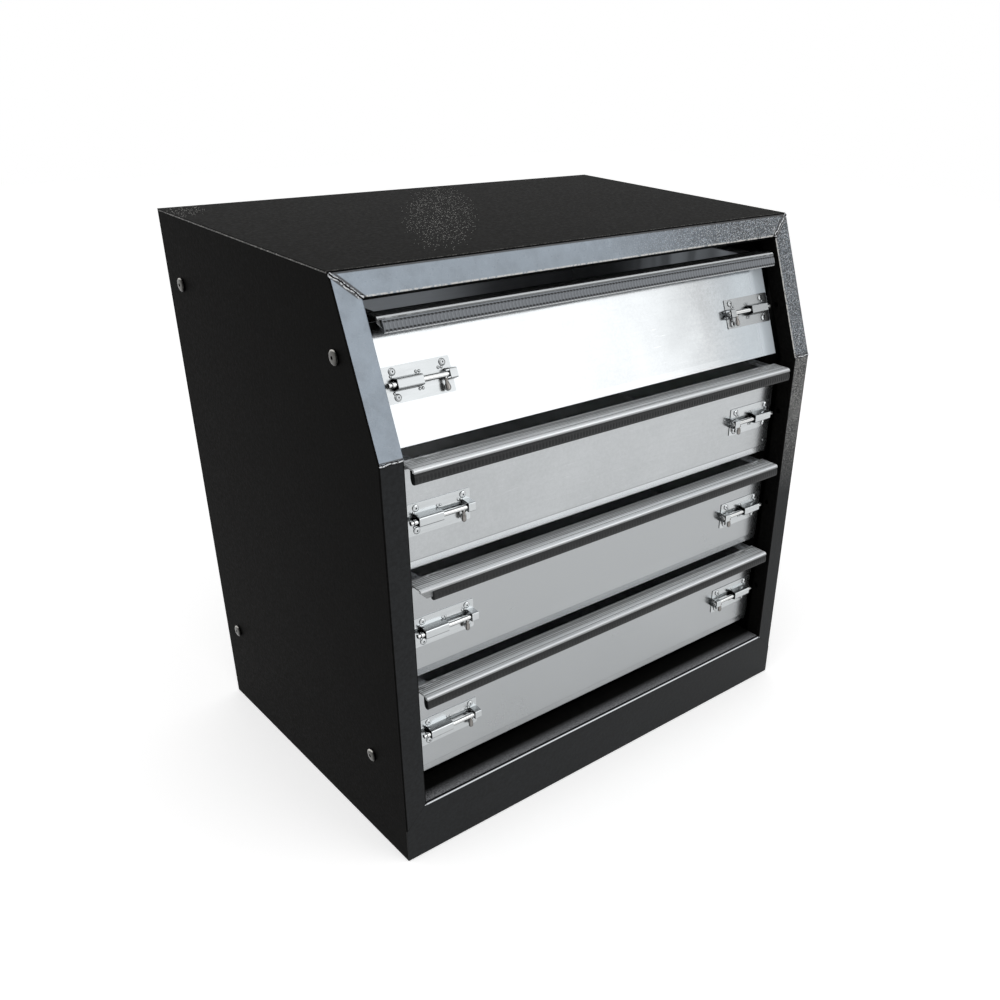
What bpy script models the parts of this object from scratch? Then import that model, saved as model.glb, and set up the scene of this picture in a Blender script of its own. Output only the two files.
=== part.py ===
"""Canopy drawer unit: a folded steel cabinet with four aluminium drawers on telescopic runners.

Metres, +Z up. X runs across the cabinet with zero at its middle, the drawers open towards -Y,
and Z is zero on the underside. The front stands upright up to the kink and leans back above it.
An inset is a distance in from the cabinet's outer side face, on either side.
"""

import math

import bmesh
import bpy
from mathutils import Matrix, Vector

# Cabinet
CABINET_WIDTH = 0.850
CABINET_DEPTH = 0.600
CABINET_HEIGHT = 0.875
LEAN_HEIGHT = 0.220
TOP_SETBACK = 0.085
SHEET = 0.002
CLEARANCE = 0.0003
FLANGE_WIDTH = 0.037
TOP_FLANGE = 0.035
BOTTOM_FLANGE = 0.096
RETURN_DEPTH = 0.030
BOTTOM_RETURN = 0.060

# Places of the drawers in the front opening
DRAWER_COUNT = 4
TOP_DRAWER = 1
THIRD_DRAWER = 3
FACE_DEPTH = 0.031
OPENING_GAP = 0.011
BOTTOM_GAP = 0.033
TOP_GAP = 0.026
DRAWER_GAP = 0.018
TOP_DRAWER_RISE = 0.002

# Trays and their facing sheets
TRAY_SHEET = 0.0016
FACING_SHEET = 0.0016
FACING_STEP = 0.0012
TRAY_LIP = 0.012
RIM_DROP = 0.004
RIM_FOLD = 0.025
TRAY_REAR_GAP = 0.025

# Handles and their rubber grips
HANDLE_END_GAP = 0.0012
HANDLE_REACH = 0.033
HANDLE_SHEET = 0.0022
HANDLE_LEG = 0.0018
HANDLE_LEG_DROP = 0.010
NOSE_RADIUS = 0.0045
NOSE_HEIGHT = 0.005
LIP_DROP = 0.0155
LIP_SETBACK = 0.0035
LIP_CLIP = 0.010
TOP_NOSE_RISE = 0.004
GROOVE_WIDTH = 0.0014
GROOVE_DEPTH = 0.0005
GROOVE_PITCH = 0.0042
GROOVE_COUNT = 4
GRIP_PROUD = 0.0015
GRIP_THICKNESS = 0.011
GRIP_DROP = 0.0215
GRIP_CORNER = 0.0035
TOP_GRIP_CLIMB = 0.0025
TOP_GRIP_SHRINK = 0.006
THIRD_GRIP_SHRINK = 0.020

# Telescopic runners
RUNNER_HEIGHT = 0.046
RUNNER_RISE = 0.045
RUNNER_SHEET = 0.0014
RUNNER_SETBACK = 0.008
RUNNER_REAR_GAP = 0.031
BALL_RACE = 0.0032
WEB_GAP = 0.001

# Uprights that carry the runners, and their bolts
UPRIGHT_WIDTH = 0.040
UPRIGHT_SHEET = 0.002
UPRIGHT_LIP = 0.012
UPRIGHT_END = 0.037
UPRIGHT_FRONT_GAP = 0.0037
UPRIGHT_REAR_GAP = 0.029
LOW_BOLT_RISE = 0.028
HIGH_BOLT_DROP = 0.044
TIE_HEIGHT = 0.030
SIDE_BOLT_RADIUS = 0.005
SIDE_BOLT_FLANGE = 0.011
SIDE_BOLT_FLANGE_HEIGHT = 0.0015
SIDE_BOLT_DOME = 0.0085
SIDE_BOLT_HEAD = 0.0048
SIDE_BOLT_SOCKET = 0.003
SIDE_BOLT_SOCKET_DEPTH = 0.0025
SIDE_NUT_RADIUS = 0.0095
SIDE_NUT_LENGTH = 0.008

# Slide bolts on the drawer faces
PLATE_LENGTH = 0.105
PLATE_HEIGHT = 0.047
PLATE_SHEET = 0.0012
PLATE_CORNER = 0.002
PLATE_END_GAP = 0.002
ROD_RADIUS = 0.004
ROD_STANDOFF = 0.0085
ROD_TIP_SETBACK = 0.003
ROD_TAIL = 0.002
ROD_CHAMFER = 0.0008
ROD_HOLE_CLEARANCE = 0.001
GUIDE_CLEARANCE = 0.0004
GUIDE_WALL = 0.0016
GUIDE_START = 0.0145
GUIDE_LENGTH = 0.039
LOOP_LENGTH = 0.011
KNOB_RADIUS = 0.0035
KNOB_NECK = 0.0022
KNOB_DROP = 0.021
KNOB_NECK_DROP = 0.009
KNOB_GAP = 0.0015
RIVET_RADIUS = 0.0046
RIVET_HEIGHT = 0.0018
RIVET_PIT = 0.0013
RIVET_PIT_DEPTH = 0.0009
RIVET_OUTER_END = 0.017
RIVET_INNER_END = 0.012
RIVET_EDGE = 0.007

# Shares of a drawer face's height, and of the depth that a runner's middle member fills
BOLT_HEIGHT_SHARE = 0.464
CABINET_EDGE_SHARE = 0.65
DRAWER_EDGE_SHARE = 0.45

# Modelling values
OVERRUN = 0.004
HOLE_CLEARANCE = 0.0003
ROUND_SIDES = 12
HEAD_SIDES = 16
ARC_STEPS = 4
SHARP_ANGLE = math.radians(35)

# Planes worked out from the sizes above
KINK_HEIGHT = CABINET_HEIGHT - LEAN_HEIGHT
SLANT = math.atan2(TOP_SETBACK, LEAN_HEIGHT)
SLANT_LENGTH = math.hypot(TOP_SETBACK, LEAN_HEIGHT)
HANDLE_PROUD = HANDLE_REACH + GRIP_PROUD - FACE_DEPTH
FRONT_Y = (HANDLE_PROUD - CABINET_DEPTH) / 2
BACK_Y = FRONT_Y + CABINET_DEPTH
BACK_INNER_Y = BACK_Y - SHEET - CLEARANCE
SIDE_LOW = SHEET + CLEARANCE
SIDE_HIGH = CABINET_HEIGHT - SHEET - CLEARANCE
OPENING_TOP = CABINET_HEIGHT - TOP_FLANGE * math.cos(SLANT)
TRAY_INSET = FLANGE_WIDTH + OPENING_GAP
TOP_DRAWER_BOTTOM = KINK_HEIGHT + TOP_DRAWER_RISE
LOWEST_BOTTOM = BOTTOM_FLANGE + BOTTOM_GAP
DRAWER_PITCH = (TOP_DRAWER_BOTTOM - LOWEST_BOTTOM) / (DRAWER_COUNT - 1)
SIDES = {"left": -1, "right": 1}


def across(side, inset):
    """X of a point this far in from the cabinet's outer face, on side -1 or 1."""
    return side * (CABINET_WIDTH / 2 - inset)


def slant_y(height, depth=0):
    """Y, at this height, of the plane that lies depth behind the leaning front."""
    return FRONT_Y + depth / math.cos(SLANT) + (height - KINK_HEIGHT) * math.tan(SLANT)


def leans(number):
    return number == TOP_DRAWER


def lean(number):
    return SLANT if leans(number) else 0


def drawer_bottom(number):
    return TOP_DRAWER_BOTTOM - (number - TOP_DRAWER) * DRAWER_PITCH


def drawer_top(number):
    if leans(number):
        return OPENING_TOP - TOP_GAP
    return drawer_bottom(number) + DRAWER_PITCH - DRAWER_GAP


def ahead(number, reach, height):
    """(y, z) of the point at this height that lies reach in front of the drawer's face, level with it."""
    face = slant_y(height, FACE_DEPTH) if leans(number) else FRONT_Y + FACE_DEPTH
    return face - reach, height


def face_frame(number):
    """Frame on the drawer's face at its bottom edge: X across, -Y out of the face, Z up along it."""
    place = Matrix.Translation((0, *ahead(number, 0, drawer_bottom(number))))
    return place @ Matrix.Rotation(-lean(number), 4, "X")


def bolt_height(number):
    """Distance of the slide bolts' rods from the face's bottom edge, along the face."""
    return BOLT_HEIGHT_SHARE * (drawer_top(number) - drawer_bottom(number)) / math.cos(lean(number))


def runner_low(number):
    return drawer_bottom(number) + RUNNER_RISE - RUNNER_HEIGHT / 2


def runner_front(number):
    """Y of the runners' front ends, behind the face at the height of their top edge."""
    top = runner_low(number) + RUNNER_HEIGHT
    return ahead(number, -FACING_STEP - TRAY_SHEET - RUNNER_SETBACK, top)[0]


RUNNER_LENGTH = BACK_INNER_Y - RUNNER_REAR_GAP - runner_front(TOP_DRAWER)
MIDDLE_INSET = FLANGE_WIDTH + CLEARANCE
RUNNER_INSET = MIDDLE_INSET - WEB_GAP - RUNNER_SHEET
UPRIGHT_OUTER = SHEET + CLEARANCE
UPRIGHT_INNER = RUNNER_INSET - CLEARANCE
LOW_BOLT_Z = LOWEST_BOTTOM + LOW_BOLT_RISE
HIGH_BOLT_Z = drawer_top(TOP_DRAWER) - HIGH_BOLT_DROP
UPRIGHT_LOW = LOW_BOLT_Z - UPRIGHT_END
UPRIGHT_HIGH = HIGH_BOLT_Z + UPRIGHT_END
FRONT_UPRIGHT_Y = slant_y(UPRIGHT_HIGH, SHEET) + UPRIGHT_FRONT_GAP
REAR_UPRIGHT_Y = BACK_INNER_Y - UPRIGHT_REAR_GAP - UPRIGHT_WIDTH


def clear_scene():
    for item in list(bpy.data.objects):
        bpy.data.objects.remove(item)
    for item in list(bpy.data.meshes):
        bpy.data.meshes.remove(item)


def make_material(name, colour, roughness, metallic):
    material = bpy.data.materials.new(name)
    material.use_nodes = True
    shader = material.node_tree.nodes["Principled BSDF"]
    shader.inputs["Base Color"].default_value = (*colour, 1)
    shader.inputs["Roughness"].default_value = roughness
    shader.inputs["Metallic"].default_value = metallic
    material.diffuse_color = (*colour, 1)
    return material


def make_object(name, mesh):
    """Turns a bmesh into an object with its faces pointing out."""
    bmesh.ops.recalc_face_normals(mesh, faces=mesh.faces)
    data = bpy.data.meshes.new(name)
    mesh.to_mesh(data)
    mesh.free()
    item = bpy.data.objects.new(name, data)
    bpy.context.scene.collection.objects.link(item)
    return item


def prism(name, axis, outline, low, high):
    """A closed prism along an axis. The outline's two numbers run along the other two axes in order."""
    slot = "XYZ".index(axis)
    mesh = bmesh.new()
    rings = []
    for level in (low, high):
        points = [list(point) for point in outline]
        for point in points:
            point.insert(slot, level)
        rings.append([mesh.verts.new(point) for point in points])
    for ring in rings:
        mesh.faces.new(ring)
    for index in range(len(outline)):
        mesh.faces.new((rings[0][index - 1], rings[0][index], rings[1][index], rings[1][index - 1]))
    return make_object(name, mesh)


def box(name, low, high):
    outline = [(low[0], low[1]), (high[0], low[1]), (high[0], high[1]), (low[0], high[1])]
    return prism(name, "Z", outline, low[2], high[2])


def turned(name, profile, sides):
    """A solid turned about Z from (radius, height) points that start and end on the axis."""
    mesh = bmesh.new()
    points = [mesh.verts.new((radius, 0, height)) for radius, height in profile]
    edges = [mesh.edges.new(pair) for pair in zip(points, points[1:])]
    bmesh.ops.spin(mesh, geom=points + edges, cent=(0, 0, 0), axis=(0, 0, 1),
                   angle=math.tau, steps=sides, use_merge=True)
    bmesh.ops.remove_doubles(mesh, verts=mesh.verts, dist=CLEARANCE / ROUND_SIDES)
    return make_object(name, mesh)


def rod_along_x(name, radius, ends, centre, sides):
    """A plain cylinder along X between two X values, about a (y, z) centre."""
    low, high = sorted(ends)
    outline = []
    for index in range(sides):
        angle = math.tau * (index + 0.5) / sides
        outline.append((centre[0] + radius * math.cos(angle), centre[1] + radius * math.sin(angle)))
    return prism(name, "X", outline, low, high)


def combine(target, tools, operation):
    """Applies each tool to the target with an exact Boolean, then removes the tools."""
    for tool in tools:
        change = target.modifiers.new(operation.title(), "BOOLEAN")
        change.operation = operation
        change.object = tool
        change.solver = "EXACT"
    graph = bpy.context.evaluated_depsgraph_get()
    mesh = bpy.data.meshes.new_from_object(target.evaluated_get(graph))
    target.modifiers.clear()
    target.data = mesh
    mesh.name = target.name
    for tool in tools:
        bpy.data.objects.remove(tool)
    return target


def moved(item, matrix):
    """Moves an object's mesh by the matrix and leaves its origin where it is."""
    item.data.transform(matrix)
    return item


def offset_path(points, distance):
    """The path moved sideways to the right of its direction, with mitred corners."""
    ways = [(Vector(b) - Vector(a)).normalized() for a, b in zip(points, points[1:])]
    normals = [Vector((way.y, -way.x)) for way in ways]
    shifted = []
    for index, point in enumerate(points):
        before = normals[max(index - 1, 0)]
        after = normals[min(index, len(normals) - 1)]
        shifted.append(Vector(point) + (before + after) * distance / (1 + before.dot(after)))
    return shifted


def strip(points, thickness):
    """Outline of a bent sheet whose outer face follows the path and whose body lies to its right."""
    return [Vector(point) for point in points] + offset_path(points, thickness)[::-1]


def finish(item, material, carrier=None):
    """Gives a piece its material and shading, and parents it to its carrier."""
    item.data.materials.clear()
    item.data.materials.append(material)
    item.data.shade_smooth()
    item.data.set_sharp_from_angle(angle=SHARP_ANGLE)
    if carrier:
        item.parent = carrier
        item.matrix_parent_inverse = Matrix.Translation(-carrier.location)
    return item


def make_carrier(name, place):
    """An empty on a joint's line of travel, which its moving pieces hang from."""
    carrier = bpy.data.objects.new(name, None)
    carrier.empty_display_size = FLANGE_WIDTH
    carrier.location = place
    bpy.context.scene.collection.objects.link(carrier)
    return carrier


def bottom_mitre(distance):
    """Height of the seam between side and bottom flanges at this inset."""
    return BOTTOM_FLANGE - FLANGE_WIDTH + distance


def top_mitre(distance):
    """Length along the slant, from the kink, of the seam between side and top flanges."""
    return SLANT_LENGTH - TOP_FLANGE * distance / FLANGE_WIDTH


def seam_wedge(name, side, seam, limit, depth, shift):
    """A cutter on one side of a mitred seam, in a frame whose XZ plane is the flange's face."""
    outer, inner = -OVERRUN, FLANGE_WIDTH + OVERRUN
    outline = [(across(side, outer), seam(outer) + shift), (across(side, inner), seam(inner) + shift),
               (across(side, inner), limit), (across(side, outer), limit)]
    return prism(name, "Y", outline, -OVERRUN, depth)


def upright_frame():
    return Matrix.Translation((0, FRONT_Y, 0))


def slant_frame():
    return Matrix.Translation((0, FRONT_Y, KINK_HEIGHT)) @ Matrix.Rotation(-SLANT, 4, "X")


def side_bolt_places():
    """(y, z) of the bolts that hold the uprights to a side panel."""
    rows = (FRONT_UPRIGHT_Y + UPRIGHT_WIDTH / 2, REAR_UPRIGHT_Y + UPRIGHT_WIDTH / 2)
    return [(y, z) for y in rows for z in (LOW_BOLT_Z, HIGH_BOLT_Z)]


def make_side_panel(name, side, material):
    """Side sheet with its front edge folded into a flange and a return round the opening."""
    front = [(FRONT_Y, SIDE_LOW), (FRONT_Y, KINK_HEIGHT), (slant_y(SIDE_HIGH), SIDE_HIGH)]
    sheet = front + [(BACK_INNER_Y, SIDE_HIGH), (BACK_INNER_Y, SIDE_LOW)]
    panel = prism(name, "X", sheet, *sorted((across(side, 0), across(side, SHEET))))
    flange = prism("flange", "X", strip(front, SHEET), *sorted((across(side, 0), across(side, FLANGE_WIDTH))))
    end = slant_frame() @ Vector((0, 0, SLANT_LENGTH - TOP_FLANGE - CLEARANCE))
    edge = [(FRONT_Y, BOTTOM_FLANGE + CLEARANCE), (FRONT_Y, KINK_HEIGHT), (end.y, end.z)]
    inner = sorted((across(side, FLANGE_WIDTH - SHEET), across(side, FLANGE_WIDTH)))
    turned_in = prism("return", "X", strip(edge, RETURN_DEPTH), *inner)
    combine(panel, [flange, turned_in], "UNION")
    low_cut = seam_wedge("low_cut", side, bottom_mitre, -OVERRUN, SHEET + CLEARANCE, CLEARANCE)
    top_cut = seam_wedge("top_cut", side, top_mitre, SLANT_LENGTH + OVERRUN, SHEET + CLEARANCE, -CLEARANCE)
    cutters = [moved(low_cut, upright_frame()), moved(top_cut, slant_frame())]
    through = (across(side, -OVERRUN), across(side, SHEET + OVERRUN))
    for place in side_bolt_places():
        cutters.append(rod_along_x("hole", SIDE_BOLT_RADIUS + HOLE_CLEARANCE, through, place, HEAD_SIDES))
    through = (across(side, FLANGE_WIDTH - SHEET - OVERRUN), across(side, FLANGE_WIDTH + OVERRUN))
    for number in range(1, DRAWER_COUNT + 1):
        hole = rod_along_x("hole", ROD_RADIUS + ROD_HOLE_CLEARANCE, through,
                           (-ROD_STANDOFF, bolt_height(number)), ROUND_SIDES)
        cutters.append(moved(hole, face_frame(number)))
    combine(panel, cutters, "DIFFERENCE")
    return finish(panel, material)


def make_top_panel(material):
    """Top sheet folded down into the leaning flange over the opening, and in again."""
    lower = slant_frame() @ Vector((0, 0, SLANT_LENGTH - TOP_FLANGE))
    inner = slant_frame() @ Vector((0, RETURN_DEPTH, SLANT_LENGTH - TOP_FLANGE))
    path = [(inner.y, inner.z), (lower.y, lower.z),
            (FRONT_Y + TOP_SETBACK, CABINET_HEIGHT), (BACK_Y, CABINET_HEIGHT)]
    panel = prism("top_panel", "X", strip(path, SHEET), across(-1, 0), across(1, 0))
    cutters = []
    for side in SIDES.values():
        cut = seam_wedge("cut", side, top_mitre, -OVERRUN, RETURN_DEPTH + OVERRUN, 0)
        cutters.append(moved(cut, slant_frame()))
    combine(panel, cutters, "DIFFERENCE")
    return finish(panel, material)


def make_bottom_panel(material):
    """Bottom sheet folded up into the deep flange under the drawers, and in again."""
    path = [(BACK_Y, 0), (FRONT_Y, 0), (FRONT_Y, BOTTOM_FLANGE), (FRONT_Y + BOTTOM_RETURN, BOTTOM_FLANGE)]
    panel = prism("bottom_panel", "X", strip(path, SHEET), across(-1, 0), across(1, 0))
    cutters = []
    for side in SIDES.values():
        limit = BOTTOM_FLANGE + FLANGE_WIDTH
        cut = seam_wedge("cut", side, bottom_mitre, limit, BOTTOM_RETURN + OVERRUN, 0)
        cutters.append(moved(cut, upright_frame()))
    combine(panel, cutters, "DIFFERENCE")
    return finish(panel, material)


def make_back_panel(material):
    low = (across(-1, 0), BACK_Y - SHEET, SIDE_LOW)
    high = (across(1, 0), BACK_Y, SIDE_HIGH)
    return finish(box("back_panel", low, high), material)


def channel(name, side, front):
    """A lipped channel standing on the side panel with its open side towards the drawers."""
    back, sheet, lip = front + UPRIGHT_WIDTH, UPRIGHT_SHEET, UPRIGHT_LIP
    outer, inner = UPRIGHT_OUTER, UPRIGHT_INNER
    outline = [(outer, front), (inner, front), (inner, front + lip), (inner - sheet, front + lip),
               (inner - sheet, front + sheet), (outer + sheet, front + sheet),
               (outer + sheet, back - sheet), (inner - sheet, back - sheet),
               (inner - sheet, back - lip), (inner, back - lip), (inner, back), (outer, back)]
    outline = [(across(side, inset), y) for inset, y in outline]
    return prism(name, "Z", outline, UPRIGHT_LOW, UPRIGHT_HIGH)


def side_bolt(side, place):
    """Flanged button-head bolt with a socket, through the side panel into a nut in the upright."""
    flange_top = SIDE_BOLT_FLANGE_HEIGHT
    dome_step = SIDE_BOLT_HEAD - flange_top
    head = turned("head", [(0, -UPRIGHT_OUTER - UPRIGHT_SHEET - SIDE_NUT_LENGTH),
                           (SIDE_NUT_RADIUS, -UPRIGHT_OUTER - UPRIGHT_SHEET - SIDE_NUT_LENGTH),
                           (SIDE_NUT_RADIUS, -UPRIGHT_OUTER - UPRIGHT_SHEET / 2),
                           (SIDE_BOLT_RADIUS, -UPRIGHT_OUTER - UPRIGHT_SHEET / 2),
                           (SIDE_BOLT_RADIUS, CLEARANCE),
                           (SIDE_BOLT_FLANGE, CLEARANCE),
                           (SIDE_BOLT_FLANGE, flange_top),
                           (SIDE_BOLT_DOME, flange_top),
                           (SIDE_BOLT_DOME * math.cos(math.pi / 6), flange_top + dome_step / 2),
                           (SIDE_BOLT_DOME / 2, SIDE_BOLT_HEAD),
                           (SIDE_BOLT_SOCKET, SIDE_BOLT_HEAD),
                           (SIDE_BOLT_SOCKET, SIDE_BOLT_HEAD - SIDE_BOLT_SOCKET_DEPTH),
                           (0, SIDE_BOLT_HEAD - SIDE_BOLT_SOCKET_DEPTH)], HEAD_SIDES)
    turn = Matrix.Rotation(side * math.pi / 2, 4, "Y")
    return moved(head, Matrix.Translation((across(side, 0), *place)) @ turn)


def make_runner_frame(name, side, material):
    """Front and rear uprights tied together, with the bolts that hold them to the side panel."""
    frame = channel(name, side, FRONT_UPRIGHT_Y)
    extras = [channel("rear", side, REAR_UPRIGHT_Y)]
    near, far = FRONT_UPRIGHT_Y + UPRIGHT_WIDTH - UPRIGHT_SHEET / 2, REAR_UPRIGHT_Y + UPRIGHT_SHEET / 2
    for low in (UPRIGHT_LOW, UPRIGHT_HIGH - TIE_HEIGHT):
        xs = sorted((across(side, UPRIGHT_OUTER), across(side, UPRIGHT_OUTER + UPRIGHT_SHEET)))
        extras.append(box("tie", (xs[0], near, low), (xs[1], far, low + TIE_HEIGHT)))
    for place in side_bolt_places():
        extras.append(side_bolt(side, place))
    combine(frame, extras, "UNION")
    return finish(frame, material)


def mirrored(upper):
    """A full outline from its upper half, whose points run from the outer face to the inner."""
    return upper + [(inset, -height) for inset, height in reversed(upper)]


def runner_part(name, side, number, upper, material, carrier=None):
    """One member of a telescopic runner: a channel section drawn out along Y."""
    middle = runner_low(number) + RUNNER_HEIGHT / 2
    outline = [(across(side, inset), middle + height) for inset, height in mirrored(upper)]
    front = runner_front(number)
    return finish(prism(name, "Y", outline, front, front + RUNNER_LENGTH), material, carrier)


def runner_sections():
    """Upper halves of the cabinet, middle and drawer members, as (inset, height) points.

    Each smaller member runs inside the larger one on rows of balls, which here are the ridges on
    the middle member.
    """
    sheet = RUNNER_SHEET
    drawer_outer = TRAY_INSET - CLEARANCE
    reach = drawer_outer - sheet
    top = RUNNER_HEIGHT / 2
    middle_top = top - sheet - BALL_RACE
    drawer_top_edge = middle_top - sheet - BALL_RACE
    cabinet_edge = MIDDLE_INSET + (reach - MIDDLE_INSET) * CABINET_EDGE_SHARE
    middle_edge = reach - WEB_GAP
    drawer_edge = MIDDLE_INSET + (reach - MIDDLE_INSET) * DRAWER_EDGE_SHARE
    outer_row = (MIDDLE_INSET + sheet, cabinet_edge - WEB_GAP / 2)
    inner_row = (drawer_edge, middle_edge - WEB_GAP / 2)
    cabinet = [(RUNNER_INSET, top), (cabinet_edge, top), (cabinet_edge, top - sheet),
               (RUNNER_INSET + sheet, top - sheet)]
    middle = [(MIDDLE_INSET, middle_top), (outer_row[0], middle_top),
              (outer_row[0], top - sheet - CLEARANCE), (outer_row[1], top - sheet - CLEARANCE),
              (outer_row[1], middle_top), (middle_edge, middle_top), (middle_edge, middle_top - sheet),
              (inner_row[1], middle_top - sheet), (inner_row[1], drawer_top_edge + CLEARANCE),
              (inner_row[0], drawer_top_edge + CLEARANCE), (inner_row[0], middle_top - sheet),
              (MIDDLE_INSET + sheet, middle_top - sheet)]
    drawer = [(drawer_outer, drawer_top_edge), (drawer_edge, drawer_top_edge),
              (drawer_edge, drawer_top_edge - sheet), (reach, drawer_top_edge - sheet)]
    return cabinet, middle, drawer


def make_tray(number, material, carrier):
    """Folded tray with rims along its sides, and a facing sheet in front that the handle grips."""
    bottom, top = drawer_bottom(number), drawer_top(number)
    rim, under_legs = top - RIM_DROP, top - HANDLE_LEG_DROP - CLEARANCE
    back = BACK_INNER_Y - TRAY_REAR_GAP
    outer, inner = across(1, TRAY_INSET), across(1, TRAY_INSET + TRAY_SHEET)
    behind_legs = -FACING_SHEET - HANDLE_LEG - CLEARANCE - CLEARANCE
    body = [ahead(number, -FACING_STEP, bottom), ahead(number, -FACING_STEP, under_legs),
            ahead(number, behind_legs, under_legs), ahead(number, behind_legs, rim), (back, rim), (back, bottom)]
    tray = prism(f"drawer_tray_{number}", "X", body, -outer, outer)
    floor, wall = bottom + TRAY_SHEET, -FACING_STEP - TRAY_SHEET
    spaces = []
    for half, ceiling in ((inner, rim - TRAY_SHEET), (inner - RIM_FOLD, rim + OVERRUN)):
        space = [ahead(number, wall, floor), ahead(number, wall, ceiling),
                 (back - TRAY_SHEET, ceiling), (back - TRAY_SHEET, floor)]
        spaces.append(prism("space", "X", space, -half, half))
    combine(tray, spaces, "DIFFERENCE")
    low = bottom if leans(number) else bottom + TRAY_LIP
    high = top - HANDLE_SHEET - CLEARANCE
    facing = [ahead(number, 0, low), ahead(number, 0, high),
              ahead(number, -FACING_SHEET, high), ahead(number, -FACING_SHEET, low)]
    combine(tray, [prism("facing", "X", facing, -outer, outer)], "UNION")
    return finish(tray, material, carrier)


def arc(centre, radii, start, end, steps):
    """Points of an elliptic arc, with its angles in quarter turns."""
    points = []
    for index in range(steps + 1):
        angle = (start + (end - start) * index / steps) * math.pi / 2
        points.append((centre[0] + radii[0] * math.cos(angle), centre[1] + radii[1] * math.sin(angle)))
    return points


def handle_outline():
    """Section of the handle as (reach, drop): forward of the drawer's face, and down from the top."""
    rear = -(FACING_SHEET + CLEARANCE + HANDLE_LEG)
    outline = [(rear, HANDLE_LEG_DROP), (rear, 0)]
    for index in range(GROOVE_COUNT):
        start = HANDLE_LEG + index * GROOVE_PITCH
        outline += [(start, 0), (start + GROOVE_WIDTH / 2, GROOVE_DEPTH), (start + GROOVE_WIDTH, 0)]
    groove = HANDLE_REACH - NOSE_RADIUS - NOSE_HEIGHT
    outline += [(groove, 0), (groove + GROOVE_WIDTH / 2, GROOVE_DEPTH), (groove + GROOVE_WIDTH, 0)]
    centre = (HANDLE_REACH - NOSE_RADIUS, NOSE_RADIUS)
    outline += arc(centre, (NOSE_RADIUS, NOSE_RADIUS), -1, 0, ARC_STEPS)
    lip_front = HANDLE_REACH - LIP_SETBACK
    lip_rear = lip_front - HANDLE_SHEET
    leg_front = CLEARANCE + HANDLE_LEG
    outline += [(HANDLE_REACH, NOSE_HEIGHT), (lip_front, NOSE_HEIGHT), (lip_front, LIP_DROP),
                (lip_rear, LIP_DROP), (lip_rear, HANDLE_SHEET), (leg_front, HANDLE_SHEET),
                (leg_front, HANDLE_LEG_DROP), (CLEARANCE, HANDLE_LEG_DROP), (CLEARANCE, HANDLE_SHEET),
                (rear + HANDLE_LEG, HANDLE_SHEET), (rear + HANDLE_LEG, HANDLE_LEG_DROP)]
    return outline


def grip_outline(climb):
    """Section of the rubber trim, pushed up over the handle's lip. Its front edge may climb the nose."""
    front = HANDLE_REACH + GRIP_PROUD
    rear = front - GRIP_THICKNESS
    lip_front = HANDLE_REACH - LIP_SETBACK
    slot_front, slot_rear = lip_front + CLEARANCE, lip_front - HANDLE_SHEET - CLEARANCE
    front_top, rear_top = NOSE_HEIGHT + CLEARANCE, HANDLE_SHEET + CLEARANCE
    slot_end, waist = LIP_DROP + CLEARANCE, (NOSE_HEIGHT + LIP_DROP) / 2
    lowest = front - GRIP_CORNER
    corner = arc((lowest, GRIP_DROP - GRIP_CORNER), (GRIP_CORNER, GRIP_CORNER), 0, 1, ARC_STEPS)
    belly = arc((lowest, waist), (lowest - rear, GRIP_DROP - waist), 1, 2, ARC_STEPS)
    cover = HANDLE_REACH + CLEARANCE
    return [(slot_front, front_top), (cover, front_top), (cover, front_top - climb), (front, front_top - climb),
            *corner, *belly[1:], (rear, rear_top), (slot_rear, rear_top), (slot_rear, slot_end),
            (slot_front, slot_end)]


def hung(outline, number):
    """A (reach, drop) outline in world (y, z). On the leaning drawer it leans too, and its nose rises."""
    rise = TOP_NOSE_RISE / HANDLE_REACH if leans(number) else 0
    return [ahead(number, reach, drawer_top(number) - drop + rise * max(reach, 0)) for reach, drop in outline]


def make_handle(number, material, carrier):
    """Full-width aluminium handle with the corners of its lip cut off."""
    end, top = across(1, TRAY_INSET + HANDLE_END_GAP), drawer_top(number)
    handle = prism(f"drawer_handle_{number}", "X", hung(handle_outline(), number), -end, end)
    low = top - LIP_DROP - OVERRUN
    rear = ahead(number, HANDLE_REACH - LIP_SETBACK - HANDLE_SHEET - OVERRUN, top)[0]
    front = ahead(number, HANDLE_REACH + OVERRUN, low)[0]
    run = LIP_CLIP * (LIP_DROP - NOSE_HEIGHT + OVERRUN) / (LIP_DROP - NOSE_HEIGHT)
    cutters = []
    for side in SIDES.values():
        corner = [(side * end, top - NOSE_HEIGHT), (side * (end - run), low), (side * (end + OVERRUN), low),
                  (side * (end + OVERRUN), top - NOSE_HEIGHT)]
        cutters.append(prism("corner", "Y", corner, front, rear))
    combine(handle, cutters, "DIFFERENCE")
    return finish(handle, material, carrier)


def make_grip(number, material, carrier):
    """Rubber trim. On two drawers it has shrunk back from the left end of its lip."""
    end = across(1, TRAY_INSET + HANDLE_END_GAP)
    shrink = {TOP_DRAWER: TOP_GRIP_SHRINK, THIRD_DRAWER: THIRD_GRIP_SHRINK}.get(number, 0)
    climb = TOP_GRIP_CLIMB if leans(number) else 0
    grip = prism(f"handle_grip_{number}", "X", hung(grip_outline(climb), number), shrink - end, end)
    return finish(grip, material, carrier)


def guide_outline():
    """Arch over the rod, as (y, z) about the middle of the plate's back."""
    inner, foot = ROD_RADIUS + GUIDE_CLEARANCE, PLATE_SHEET / 2
    outer = inner + GUIDE_WALL
    centre = (-ROD_STANDOFF, 0)
    outline = [(-foot, -outer), *arc(centre, (-outer, outer), -1, 1, 2 * ARC_STEPS), (-foot, outer)]
    return outline + [(-foot, inner), *arc(centre, (-inner, inner), 1, -1, 2 * ARC_STEPS), (-foot, -inner)]


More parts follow.
